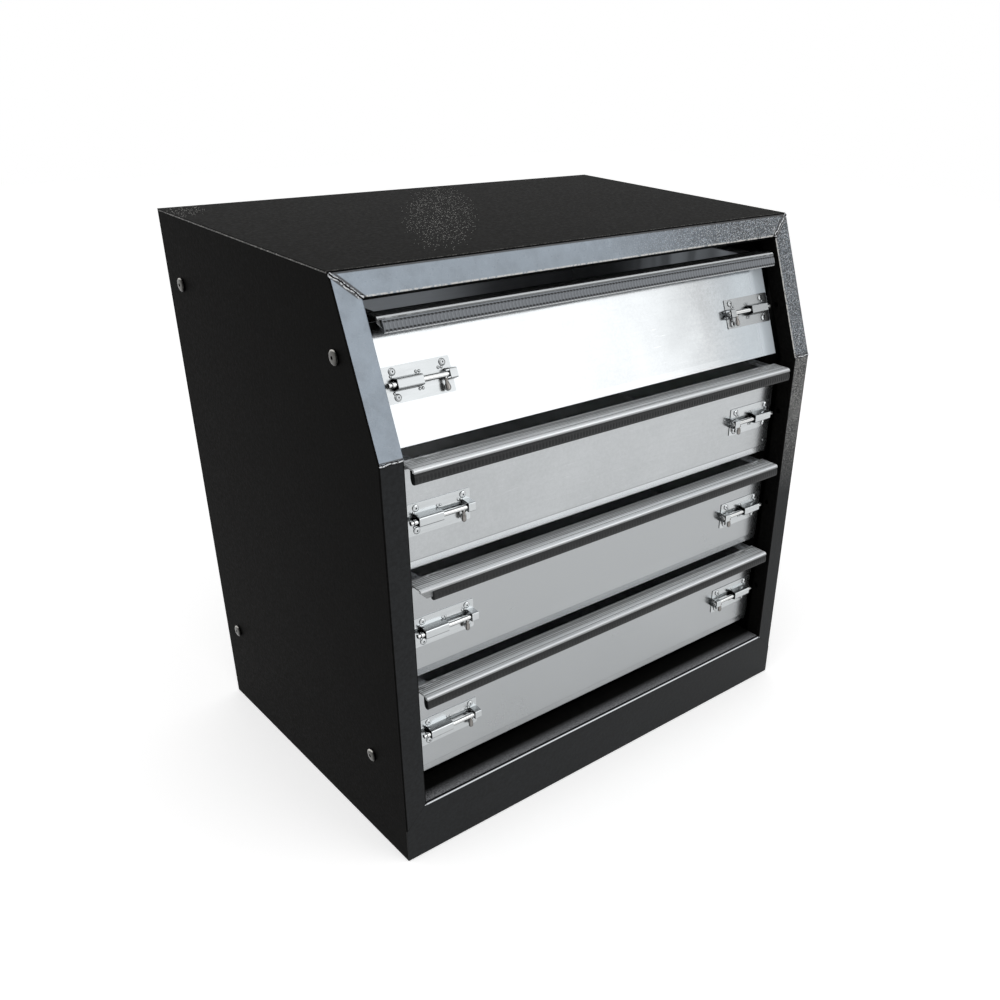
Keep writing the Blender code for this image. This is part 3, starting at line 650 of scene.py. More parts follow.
def metal(name, colour, roughness, streaks, smudge, contrast, relief):
    """Metal with streaks along one direction and smudges that change its gloss."""
    paint = Paint(name, colour, roughness, 1)
    lines, patches = paint.noise(streaks, 3, 0.6), paint.noise((7, 7, 7), 4, 0.6)
    paint.between(lines.ranged(0.32, 0.70), 1 - contrast, 1 + contrast)
    paint.over(patches.ranged(0.35, 0.7, 0, 0.6), 0.93)
    paint.wire(Roughness=patches.ranged(0.32, 0.72, roughness - smudge / 2, roughness + smudge),
               Normal=lines.bump(relief, 0.0004))
    return paint


def facing_metal(name, colour, roughness, under, over, ends):
    """Metal with painted light: painted shade where it faces down or sideways, and a painted highlight where
    it faces up.
    """
    paint = metal(name, colour, roughness, (30, 120, 260), 0.06, 0.05, 0.02)
    across, _, up = paint.axes("Normal")
    paint.over(abs(across).ranged(0.35, 0.8), ends)
    paint.over(up.ranged(0.45, 0.75), over)
    paint.over(up.ranged(-0.20, -0.55), under)
    return paint.done()


def handle_metal(name, colour, roughness, metallic, low, high, nose, below):
    """Drawn metal: bands along its length, a painted highlight in a narrow line along the nose, painted shade
    on the lip's front and towards the flange's rear, and painted highlights near the ends and on the left end
    faces.
    """
    paint = Paint(name, colour, roughness, metallic)
    x, y, _ = paint.axes()
    across, forward, _ = paint.axes("Normal")
    bands, fine = paint.noise((0.7, 150, 150), 1), paint.noise((2, 300, 300), 1)
    rear = FRONT + FACE_DEPTH - 0.002
    paint.between(bands.ranged(0.36, 0.62, 0, 1, True), low, high)
    paint.over(fine.ranged(0.52, 0.58, 0, 0.55), low * 0.5)
    # Painted shade towards the flange's rear.
    paint.over(y.ranged(rear - 0.009, rear - 0.001, 0, 0.6), low * 0.4)
    # Painted highlights at the flange's rear near its ends.
    ends = abs(x).ranged(0.300, 0.345) * y.ranged(rear - 0.016, rear - 0.008)
    paint.over(ends * paint.noise((60, 170, 60), 3).ranged(0.47, 0.56), high)
    # Painted highlight along the nose.
    paint.over(forward.ranged(-0.88, -0.74) * forward.ranged(-0.45, -0.25, 1, 0), nose)
    # Painted shade on the lip's front.
    paint.over(forward.ranged(-0.86, -0.95), below)
    # Painted highlight on the left end faces.
    paint.over(across.ranged(-0.5, -0.8), 1)
    return paint.done(Roughness=fine.ranged(0.3, 0.7, roughness - 0.05, roughness + 0.05))


def inner_wall(colour):
    """Inside of the top tray's walls, with a painted glow for the light that they catch at their left and
    front.
    """
    paint = Paint("inner_wall", colour, 0.42, 0.25)
    x, y, _ = paint.axes()
    side, rear = x.ranged(0.366, 0.370), x.ranged(-0.02, 0.20, 1, 0.02, True)
    stripes = paint.noise((0, 26, 0), 1).ranged(0.40, 0.58, 0.45, 1)
    painted_glow = side * y.ranged(0.16, -0.04, 0.03, 1, True) * stripes + (1 - side) * rear
    paint.over(paint.noise((4, 30, 260)).ranged(0.35, 0.7, 0, 0.15), 0.5)
    return paint.done(Emission_Color=(0.62, 0.67, 0.72, 1), Emission_Strength=painted_glow * WALL_GLOW)


def rim_sheet(colour):
    """The folded rims along the lower trays' sides, a little crumpled near the handle: a bump, with light and
    dark patches painted as the crumples' highlights and shade.
    """
    paint = Paint("rim_sheet", colour, 0.38, 0.35)
    creases = paint.noise((120, 60, 60), 3, 0.7)
    near = paint.axes()[1].ranged(FRONT + 0.06, FRONT + 0.14, 1, 0.08)
    # Painted highlights and shade of the crumples, near the handle.
    paint.over(near, paint.mix(creases.ranged(0.42, 0.60), scaled(colour, 0.45), scaled(colour, 1.5)))
    return paint.done(Normal=(creases * near).bump(0.3, 0.0012))


def mill_sheet(colour):
    """Rolled sheet: lines, mottling, smudges, scratches, a painted shadow along the pressed line, the top
    drawer's pale end painted as a reflection and a highlight, and painted shade on the lower drawers.
    """
    paint = Paint("mill_sheet", colour, 0.24, 1)
    x, y, z = paint.axes()
    mottle, patches = paint.noise(260, 3, 0.6), paint.noise(6.5, 4, 0.6)
    paint.between(paint.noise((4, 30, 260), 3, 0.6).ranged(0.35, 0.68), 0.975, 1.03)
    paint.over(patches.ranged(0.33, 0.68, 0, 0.9), 0.90)
    paint.over(mottle.ranged(0.40, 0.66, 0, 0.22), 1.25)
    paint.over(paint.noise((26, 26, 60), 5, 0.7, (0, 0.5, 0)).ranged(0.58, 0.72) * 0.12, 1.30)
    marks = []
    for turn, start in ((0.35, 0.0), (-0.6, 3.1), (1.2, 5.7)):
        thin = paint.noise((22, 22, 950), 1, 0.5, (0, turn, 0), (start, start, start))
        kept = paint.noise((9, 9, 9), start=(start, 0, start)).ranged(0.60, 0.66)
        marks.append(thin.ranged(0.70, 0.78) * kept)
    paint.over(marks[0].most(marks[1]).most(marks[2]) * 0.7, 1.5)
    level, face = (z - LOWEST_BOTTOM) % DRAWER_PITCH, FRONT + FACE_DEPTH
    upper, lower = z.ranged(TOP_BOTTOM - 0.01, TOP_BOTTOM), z.ranged(TOP_BOTTOM - 0.01, TOP_BOTTOM, 1, 0)
    # Painted shadow along the pressed line of the lower drawers.
    pressed = level.near(PRESSED_LINE, 0.0012) * lower * y.ranged(face + 0.002, face + 0.003, 1, 0)
    paint.over(pressed * 0.60, 0.40)
    band = level.ranged(PRESSED_LINE - 0.0008, PRESSED_LINE - 0.0016) * level.ranged(0.0012, 0.0022)
    paint.over(band * upper.ranged(0, 1, 0.8, 0.1), 1.60)
    facing = paint.axes("Normal")[1].ranged(-0.6, -0.8)
    # Painted reflection: a bluish end on the top drawer's front.
    paint.over(upper * x.ranged(0.22, 0.31) * facing, (0.475, 0.515, 0.545))
    # Painted shade: darker towards the bottom and on the third drawer.
    paint.over(z.ranged(0.48, 0.22, 0, 0.8), 0.84, "DARKEN")
    paint.over(z.near(LOWEST_BOTTOM + DRAWER_PITCH * 1.45, 0.11), 0.86, "DARKEN")
    # Painted highlight: a pale, non-metal band at the top drawer's right end.
    right = upper * x.ranged(0.338, 0.352, 0, 0.85) * facing
    paint.over(right, (0.62, 0.68, 0.73))
    gloss = patches.ranged(0.32, 0.72, 0.19, 0.27) - upper * 0.06 + mottle.ranged(0.35, 0.7, -0.02, 0.02)
    waves = paint.noise((9, 9, 14), 1)
    return paint.done(Metallic=1 - right, Roughness=gloss, Normal=waves.bump(0.15, 0.004))


def bolt_steel(colour):
    """Steel of the side bolts, dull, with painted light: darker round the rim, a painted highlight on the
    upper rear side, painted shade on the lower front side and a painted shadow on the faces that face forward.
    """
    paint = Paint("bolt_steel", colour, 0.22, 1)
    x, y, z = paint.axes("Normal")
    side, grain = z * 0.75 + y * 0.55, paint.noise(500, 3, 0.7)
    paint.between(abs(x).ranged(0.45, 0.98), 0.25, 1.1)
    paint.over(side.ranged(0.16, 0.40, 0, 0.9), 8)
    paint.over(side.ranged(-0.10, -0.45, 0, 0.8), 0.3)
    paint.over(y.ranged(-0.30, -0.60), 0.04)
    paint.over(grain.ranged(0.4, 0.65, 0, 0.5), 0.5)
    return paint.done(Roughness=grain.ranged(0.3, 0.7, 0.16, 0.32))


def ribbed_rubber(colour):
    """Rubber trim with a soft sheen, paler rib tops on the top drawer that are a painted highlight, a painted
    highlight line under the top grip, dust and a fine grain.
    """
    paint = Paint("ribbed_rubber", colour, 0.40, 0, 0.22)
    across, _, up = paint.axes("Normal")
    z, width, fine = paint.axes()[2], abs(across), paint.noise(900, 3, 0.6)
    top = z.ranged(TOP_BOTTOM, TOP_BOTTOM + 0.01)
    rib_highlight = width.ranged(0.02, 0.25, 1, 0.62) * up.ranged(-0.10, 0.14) * up.ranged(0.66, 0.52)
    # Painted highlight line along the top grip's lower edge.
    foot = z.near(drawer_top(1) - 0.0168, 0.0016) * top * width.ranged(0.02, 0.10, 1, 0)
    paint.between(fine.ranged(0.35, 0.7), 0.5, 1.1)
    paint.over(paint.noise((20, 20, 20), 5, 0.7).ranged(0.45, 0.75, 0, 0.35), 1.8)
    paint.over(rib_highlight * top, (0.260, 0.277, 0.300))
    paint.over(foot, (0.85, 0.86, 0.87))
    return paint.done(Roughness=fine.ranged(0.3, 0.75, 0.40, 0.50), Normal=fine.bump(0.1, 0.0002))


def zinc_runner(colour):
    """Zinc plate with faint crystal patches."""
    paint = Paint("zinc_runner", colour, 0.32, 1)
    grey, lines = paint.field("RGBToBW", 0, {0: paint.cells(90, "Color")}), paint.noise((6, 2, 500), 3)
    paint.between(grey.ranged(0.2, 0.8), 0.82, 1.1)
    paint.over(lines.ranged(0.4, 0.7, 0, 0.35), 0.7)
    return paint.done(Roughness=grey.ranged(0, 1, 0.24, 0.42), Normal=lines.bump(0.1, 0.0003))


def floor_material(colour):
    """Pale floor that keeps the object's shadow, lifted to white where it is seen."""
    paint = Paint("pale_floor", colour, 0.9, 0, 0.1)
    paint.between(paint.noise((3, 3, 3), 3).ranged(0.3, 0.7), 0.995, 1)
    return paint.done(Emission_Color=(1, 1, 1, 1), Emission_Strength=paint.seen_directly() * FLOOR_LIFT)


def shared_materials():
    """All the finishes, made once and kept by name."""
    made = {material.name: material for material in bpy.data.materials if material.get("finish")}
    if made:
        return made
    cabinet, drawers, bolts = looks().cabinet, looks().drawers, looks().bolts
    black, handle, steel = tuple(cabinet.coat), tuple(drawers.handle), tuple(bolts.steel)
    # The upright front's coat is the black paint made paler and bluish: a painted sheen.
    front = tuple(channel * factor for channel, factor in zip(black, (2.5, 2.8, 3.2)))
    finishes = [
        coat("powder_coat", black, 0.50, 0.010, 1.0).done(),
        top_coat(scaled(black, 1.6)),
        front_coat(front),
        leaning_coat(tuple(cabinet.lean_sheen)),
        bead_coat(),
        edge_coat(),
        coat("bead_foot", (0.006, 0.006, 0.007), 0.55, 0.05, 1.0).done(),
        sill_coat(black),
        coat("upright_coat", (0.012, 0.012, 0.012), 0.45, 0.1, 2.0).done(),
        mill_sheet(tuple(drawers.sheet)),
        # A paler copy of the sheet for the trays' insides: painted light.
        metal("inner_sheet", (0.85, 0.86, 0.88), 0.34, (4, 30, 260), 0.08, 0.03, 0.0).done(),
        handle_metal("drawn_handle", handle, 0.28, 0.15, 0.80, 1.15, 1.0, 0.30),
        # A much darker copy of the handle metal for the top drawer: painted shade.
        handle_metal("top_handle", handle, 0.30, 1, 0.08, 0.24, 0.66, 0.06),
        rim_sheet((0.50, 0.53, 0.56)),
        inner_wall((0.42, 0.43, 0.45)),
        # Darker metal on the handles' groove walls: painted shade.
        metal("handle_groove", scaled(handle, 0.30), 0.45, (2.0, 300, 300), 0.06, 0.08, 0.0).done(),
        # Plates and rods: painted shade and highlights by the way each face points.
        facing_metal("pressed_steel", steel, 0.20, 0.06, 1.35, 0.25),
        # A darker copy of the plate steel for the top drawer's plates: painted shade.
        facing_metal("shaded_steel", scaled(steel, 0.68), 0.22, 0.20, 1.5, 0.40),
        facing_metal("polished_steel", tuple(bolts.rod), 0.14, 0.12, 1.5, 0.40),
        # Darker steel for the knobs: a painted dark reflection.
        metal("knob_steel", (0.22, 0.21, 0.20), 0.15, (40, 40, 40), 0.05, 0.10, 0.02).done(),
        bolt_steel((0.085, 0.083, 0.078)),
        ribbed_rubber(tuple(drawers.rubber)),
        zinc_runner((0.50, 0.51, 0.53)),
    ]
    for material in finishes:
        material["finish"] = True
    return {material.name: material for material in finishes}


class StageOperator(bpy.types.Operator):
    """Adds the camera, lamps, even daylight and the pale floor."""

    bl_idname = "canopy_drawers.stage"
    bl_label = "Camera, lamps and floor"

    def execute(self, context):
        scene, values = context.scene, looks().stage
        camera = bpy.data.objects.new("photo_camera", bpy.data.cameras.new("photo_camera"))
        camera.matrix_world = Matrix(CAMERA_ROWS)
        camera.data.sensor_width = CAMERA_SENSOR
        camera.data.lens = CAMERA_LENS
        camera.data.shift_x, camera.data.shift_y = CAMERA_SHIFT
        camera.data.clip_start = 0.01
        scene.collection.objects.link(camera)
        scene.camera = camera
        scene.view_settings.view_transform = "Standard"
        self.lamp("front_softbox", values.softbox, *SOFTBOX)
        self.lamp("overhead_fill", values.fill, *FILL)
        floor = added(bpy.ops.mesh.primitive_plane_add, size=FLOOR_SIZE, location=(0, 0, -0.0005))
        floor.name = "pale_floor"
        floor.data.materials.append(floor_material(tuple(values.floor)))
        self.daylight(scene, values.daylight)
        return {"FINISHED"}

    def lamp(self, name, power, size, place, target):
        data = bpy.data.lights.new(name, "AREA")
        data.shape = "RECTANGLE"
        data.size, data.size_y = size
        data.energy = power
        item = bpy.data.objects.new(name, data)
        item.location = place
        item.rotation_euler = (Vector(target) - Vector(place)).to_track_quat("-Z", "Y").to_euler()
        bpy.context.scene.collection.objects.link(item)

    def daylight(self, scene, strength):
        """White to the camera, to metal and to glass, and softer as light."""
        world = bpy.data.worlds.new("even_daylight")
        world.use_nodes = True
        nodes = Nodes(world.node_tree)
        sockets = world.node_tree.nodes["Background"].inputs
        nodes.put(sockets["Color"], (1, 1, 1, 1))
        nodes.put(sockets["Strength"], nodes.seen_directly().ranged(0, 1, strength, 1))
        scene.world = world


class CabinetOperator(bpy.types.Operator):
    """Folds the cabinet's sheets: each solid's copy gets rounded folds and its coats."""

    bl_idname = "canopy_drawers.cabinet"
    bl_label = "Cabinet sheets"

    def execute(self, context):
        sheets = (("side_panel_left", "left_side_sheet", "powder_coat"),
                  ("side_panel_right", "right_side_sheet", "powder_coat"),
                  ("top_panel", "top_sheet", "top_coat"), ("bottom_panel", "bottom_sheet", "sill_coat"),
                  ("back_panel", "back_sheet", "powder_coat"))
        for solid, name, main in sheets:
            item = self.folded(copy_of_node(solid, name), looks().cabinet.fold)
            dress(item, f"{main} front_coat leaning_coat", "cabinet", "black_powder_coat", solid)
            self.coat_faces(item)
            smooth(item)
        return {"FINISHED"}

    def folded(self, item, radius):
        """Rounds the folds between broad faces, then all long edges a little."""
        def wide(edge):
            if len(edge.link_faces) != 2 or edge.calc_length() < 0.02 or not edge.is_convex:
                return False
            spans = [face.calc_area() / max(each.calc_length() for each in face.edges)
                     for face in edge.link_faces]
            return edge.calc_face_angle(0) > math.radians(15) and min(spans) > 0.010

        edit(item)
        if pick(item, wide, "edges"):
            rounded(radius, 3, True)
        leave()
        return bezel(item, EDGE_ROUNDING)

    def coat_faces(self, item):
        """The leaning front and the upright front flanges have coats of their own, whose paler colours are
        painted sheen.
        """
        for face in item.data.polygons:
            centre, normal = face.center, face.normal
            facing, level = normal.dot(LEANING), abs(normal.x) < 0.1
            rounding = facing > 0.3 and (normal.z < 0.30 if level else normal.x * centre.x < 0)
            upright = normal.y < -0.98 or BOTTOM_FLANGE - 0.004 < centre.z < BOTTOM_FLANGE - 0.0004
            above = centre.y < slant_y(centre.z) + 0.004 and centre.z > KINK + 0.0002
            if above and (facing > 0.985 or rounding):
                face.material_index = 2
            else:
                face.material_index = int(centre.y < FRONT + 0.004 and upright)


class WeldOperator(bpy.types.Operator):
    """Lays painted weld beads along the cabinet's seams."""

    bl_idname = "canopy_drawers.welds"
    bl_label = "Weld beads"

    def execute(self, context):
        bead, depth = looks().cabinet.bead, 0.0006
        face, sill, top = FRONT + depth, BOTTOM_FLANGE, SLANT_LENGTH - TOP_FLANGE
        for word, side in SIDES.items():
            edge, inner = side * (HALF_WIDTH - 0.0008), side * (HALF_WIDTH - FLANGE + 0.001)
            seams = {
                "top_mitre": (on_slant(edge, SLANT_LENGTH - 0.0022, -depth),
                              on_slant(inner, top + 0.0005, -depth)),
                "kink": ((edge, face, KINK), (inner, face, KINK)),
                "bottom_corner": ((inner - side * 0.002, face, sill - 0.0008),
                                  (inner + side * 0.002, face, sill - 0.0026)),
                "top_corner": (on_slant(inner - side * 0.0024, top, -depth),
                               on_slant(inner + side * 0.0020, top + 0.002, -depth)),
                "bottom_mitre": ((edge, face, sill - FLANGE), (inner, face, sill - 0.0005)),
            }
            for place, ends in seams.items():
                share, low, high = BEADS[place]
                out = Vector((0, -1, 0)) if place.startswith("bottom") else LEANING
                item, levels = self.laid(f"{place}_bead_{word}", ends, bead * share, out, BEAD_FLAT)
                dress(item, "bead_foot bead_coat", "cabinet", "black_powder_coat")
                # Faces that face out between the levels get the crest's painted highlight.
                for polygon, level in zip(item.data.polygons, levels):
                    polygon.material_index = int(low < level < high)
            x, z = side * HALF_WIDTH, HEIGHT - 0.0019
            ends = ((x, FRONT + SETBACK + 0.002, z), (x, -FRONT, z))
            item, _ = self.laid(f"top_edge_bead_{word}", ends, TOP_BEAD, Vector((0, 0, 1)), 1)
            dress(item, "edge_coat", "cabinet", "black_powder_coat")
        return {"FINISHED"}

    def laid(self, name, ends, radius, out, flat):
        """A rippled bead between two ends, bent a little from side to side, and how level its faces are."""
        start, end = map(Vector, ends)
        length = (end - start).length
        count = max(int(length / looks().cabinet.ripple), 4)
        profile = [(radius * 0.3, 0)]
        for index in range(count):
            swell = 0.9 + 0.10 * math.sin(index * 2.1) + 0.12 * math.sin(index * 0.73 + 1)
            profile.append((radius * 0.88 * swell, (index + 0.2) * length / count))
            profile.append((radius * swell, (index + 0.6) * length / count))
        profile.append((radius * 0.3, length))
        item = turned(profile, BEAD_SIDES)
        levels = [face.center.y / face.center.xy.length if face.center.xy.length > radius / 2 else 0
                  for face in item.data.polygons]
        for point in item.data.vertices:
            wave = math.sin(point.co.z * 310) + 0.6 * math.sin(point.co.z * 127 + 2)
            point.co.x += wave * radius * 0.20
            point.co.y *= flat
        along = (end - start).normalized()
        turn = Matrix((along.cross(out).normalized(), out, along)).transposed().to_4x4()
        placed(item, Matrix.Translation(start) @ turn)
        for point in item.data.vertices:
            point.co.z = min(point.co.z, HEIGHT - 0.0001)
        return smooth(named(item, name), 50), levels


class UprightOperator(bpy.types.Operator):
    """Dresses the uprights inside the cabinet and models the bolts in its sides."""

    bl_idname = "canopy_drawers.uprights"
    bl_label = "Uprights and side bolts"

    HEAD = ((0.0045, -0.0007), (0.0100, 0.0003), (0.0104, 0.0010), (0.0104, 0.0024), (0.0101, 0.0031),
            (0.0094, 0.0037), (0.0083, 0.0042), (0.0068, 0.0045), (0.0050, 0.0047), (0.0034, 0.0048))
    HEAD_TURN = 0.7

    def execute(self, context):
        bolt = self.bolt()
        for word, side in SIDES.items():
            solid = f"runner_frame_{word}"
            heads = self.head_places(solid, side)
            item = copy_of_node(solid, f"uprights_{word}")
            edit(item)
            bpy.ops.mesh.select_all(action="SELECT")
            bpy.ops.mesh.bisect(plane_co=(side * (HALF_WIDTH - 0.0010), 0, 0), plane_no=(side, 0, 0),
                                use_fill=True, clear_outer=True)
            leave()
            dress(smooth(item), "upright_coat", "cabinet", "black_uprights", solid)
            copies = []
            for index, (y, z) in enumerate(heads):
                place = at(side * HALF_WIDTH, y, z, side * math.pi / 2, "Y")
                copies.append(copy_of(bolt, "bolt", place @ at(turn=index * self.HEAD_TURN, axis="Z")))
            bolts = smooth(joined(f"side_bolts_{word}", copies))
            dress(bolts, "bolt_steel", "cabinet", "stainless_plate", solid)
        bpy.data.objects.remove(bolt)
        return {"FINISHED"}

    def head_places(self, solid, side):
        """(y, z) of the bolt heads, from the points of the solid that stand out of the cabinet."""
        points = [point.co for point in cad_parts[solid].data.vertices if point.co.x * side > HALF_WIDTH]
        places = []
        for front in (True, False):
            for low in (True, False):
                found = [p for p in points if (p.y < 0) == front and (p.z < HEIGHT / 2) == low]
                ys, zs = [p.y for p in found], [p.z for p in found]
                places.append(((min(ys) + max(ys)) / 2, (min(zs) + max(zs)) / 2))
        return places

    def bolt(self):
        """Button head on a wide flange, with a six-sided socket."""
        item = turned(self.HEAD, 32)
        tool = added(bpy.ops.mesh.primitive_cylinder_add, vertices=6, radius=0.0031, depth=0.004,
                     location=(0, 0, 0.0045))
        edit(tool)
        pick(tool, lambda face: face.normal.z < -0.9)
        bpy.ops.transform.resize(value=(0.8, 0.8, 1), center_override=(0, 0, 0.0025))
        leave()
        return cut(item, settle(tool))


class DrawerOperator(bpy.types.Operator):
    """Gives the trays, handles and runners their metals, with rounded edges on the trays."""

    bl_idname = "canopy_drawers.drawers"
    bl_label = "Trays, handles and runners"

    INSIDE = 0.3755
    RIVET_PLACE = (0.3663, 0.5027)
    RIVET = ((0.0017, -0.0003), (0.0017, 0.0002), (0.0013, 0.0007), (0.0006, 0.0009))

    def execute(self, context):
        for number in DRAWERS:
            self.tray(number)
            self.handle(number)
        self.tray_rivet()
        for name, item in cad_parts.items():
            if name.startswith(("cabinet_slide", "middle_slide", "drawer_slide")):
                item.data.materials.clear()
                item.data.materials.append(shared_materials()["zinc_runner"])
        return {"FINISHED"}

    def tray(self, number):
        """A tray, with metals of their own on its inside and on its rims."""
        solid = f"drawer_tray_{number}"
        tray = bezel(copy_of_node(solid, f"sheet_tray_{number}"), EDGE_ROUNDING)
        dress(smooth(tray, 40), "mill_sheet inner_sheet inner_wall rim_sheet", f"drawer_{number}",
              "mill_aluminium", solid)
        for face in tray.data.polygons:
            centre, normal = face.center, face.normal
            depth, rise = centre.y - face_y(number, centre.z), centre.z - drawer_bottom(number)
            inside = depth > 0.0014 and abs(centre.x) < self.INSIDE and rise > 0.001
            wall = number == 1 and (normal.y < -0.9 or normal.x < -0.9)
            rim = number > 1 and depth > 0.004 and normal.z > 0.9 and centre.z > drawer_top(number) - 0.006
            face.material_index = 3 if rim else int(inside) * (2 if wall else 1)

    def handle(self, number):
        solid = f"drawer_handle_{number}"
        handle = copy_of_node(solid, f"drawn_handle_{number}")
        # The top drawer's handle gets the darker copy, which is painted shade.
        finish = "top_handle" if number == 1 else "drawn_handle"
        dress(smooth(handle, 22), f"{finish} handle_groove", f"drawer_{number}", "handle_aluminium", solid)
        for face in handle.data.polygons:
            reach = face_y(number, face.center.z) - face.center.y
            # Groove walls get the painted groove shade.
            grooved = 0.0015 < reach < 0.026 and 0.4 < face.normal.z < 0.95 and abs(face.normal.x) < 0.1
            face.material_index = int(grooved)

    def tray_rivet(self):
        """The small rivet near the lower right corner of the second drawer."""
        x, z = self.RIVET_PLACE
        item = placed(turned(self.RIVET, 16), at(x, face_y(2, z), z, math.pi / 2))
        dress(smooth(named(item, "tray_rivet")), "mill_sheet", "drawer_2", "mill_aluminium")


class GripOperator(bpy.types.Operator):
    """Models the ribbed rubber grips under the handles' noses."""

    bl_idname = "canopy_drawers.grips"
    bl_label = "Rubber grips"

    def execute(self, context):
        for number in DRAWERS:
            solid = f"handle_grip_{number}"
            low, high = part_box(solid)
            grip = self.ribbed(number, low.x, high.x)
            dress(grip, "ribbed_rubber", f"drawer_{number}", "black_rubber", solid)
        return {"FINISHED"}

    def section(self, climb):
        """Section of the trim as (reach, drop, rib): how far each point moves out on a rib."""
        front, drop = HANDLE_REACH + 0.0004, 0.0215
        cover, top = HANDLE_REACH - 0.0004, 0.0053 - climb
        lip_front, lip_rear, rear = HANDLE_REACH - 0.0032, HANDLE_REACH - 0.0060, front - 0.011
        points = [(lip_front, 0.0053, 0), (cover - 0.0004, 0.0053, 0), (cover - 0.0004, top, 0),
                  (cover, top, 0)]
        middle, half = (top + drop) / 2 + 0.0006, (drop - top) / 2
        for index, rib in enumerate((0, 0.4, 1, 1, 1, 1, 1, 1, 0.4, -0.5, 0), 1):
            share = -0.92 + index * 1.72 / 11
            bulge = math.sqrt(max(1 - abs(share) ** 2.6, 0))
            points.append((front - 0.0042 * (1 - bulge), middle + share * half, rib))
        return points + [(front - 0.0052, drop, 0), (front - 0.0078, drop - 0.0006, 0),
                         (rear + 0.0008, drop - 0.0036, 0), (rear, drop - 0.0080, 0), (rear, 0.0025, 0),
                         (lip_rear, 0.0025, 0), (lip_rear, 0.0158, 0), (lip_front, 0.0158, 0)]

    def ribbed(self, number, left, right):
        """One rib's length of trim, repeated along the handle and closed at both ends."""
        points = self.section(0.0025 if number == 1 else 0)
        count = round((right - left) / looks().drawers.rib_pitch)
        pitch = (right - left) / count
        height = looks().drawers.rib_height * {1: 1, 2: 0.6}.get(number, 0.25)
        item = added(bpy.ops.mesh.primitive_circle_add, vertices=len(points), radius=0.01, fill_type="NOTHING")
        for vertex, (reach, drop, _) in zip(item.data.vertices, points):
            vertex.co = (0, reach, -drop)
        edit(item)
        level = 0
        for share, raised in ((0.16, 0), (0.44, 1), (0.72, 1), (1.0, 0)):
            pick(item, lambda edge, x=level: all(abs(v.co.x - x) < 1e-7 for v in edge.verts), "edges")
            bpy.ops.mesh.extrude_region_move(TRANSFORM_OT_translate={"value": (share * pitch - level, 0, 0)})
            mesh = bmesh.from_edit_mesh(item.data)
            for vertex in [v for v in mesh.verts if v.select]:
                reach, _, rib = min(points, key=lambda p: abs(p[0] - vertex.co.y) + abs(p[1] + vertex.co.z))
                vertex.co.y = reach + raised * height * rib
            level = max(vertex.co.x for vertex in mesh.verts)
            bmesh.update_edit_mesh(item.data)
        leave()
        changed(item, "ARRAY", count=count, use_relative_offset=False, use_constant_offset=True,
                constant_offset_displace=(pitch, 0, 0), use_merge_vertices=True, merge_threshold=0.00002)
        edit(item)
        for end in (0, right - left):
            pick(item, lambda edge, x=end: edge.is_boundary and
                 all(abs(v.co.x - x) < 1e-4 for v in edge.verts), "edges")
            bpy.ops.mesh.edge_face_add()
        leave()
        rise = NOSE_RISE / HANDLE_REACH if number == 1 else 0
        for vertex in item.data.vertices:
            along, reach, up = vertex.co
            level = drawer_top(number) + up + rise * max(reach, 0)
            vertex.co = (left + along, face_y(number, level) - reach, level)
        return smooth(named(settle(item), f"ribbed_grip_{number}"), 40)


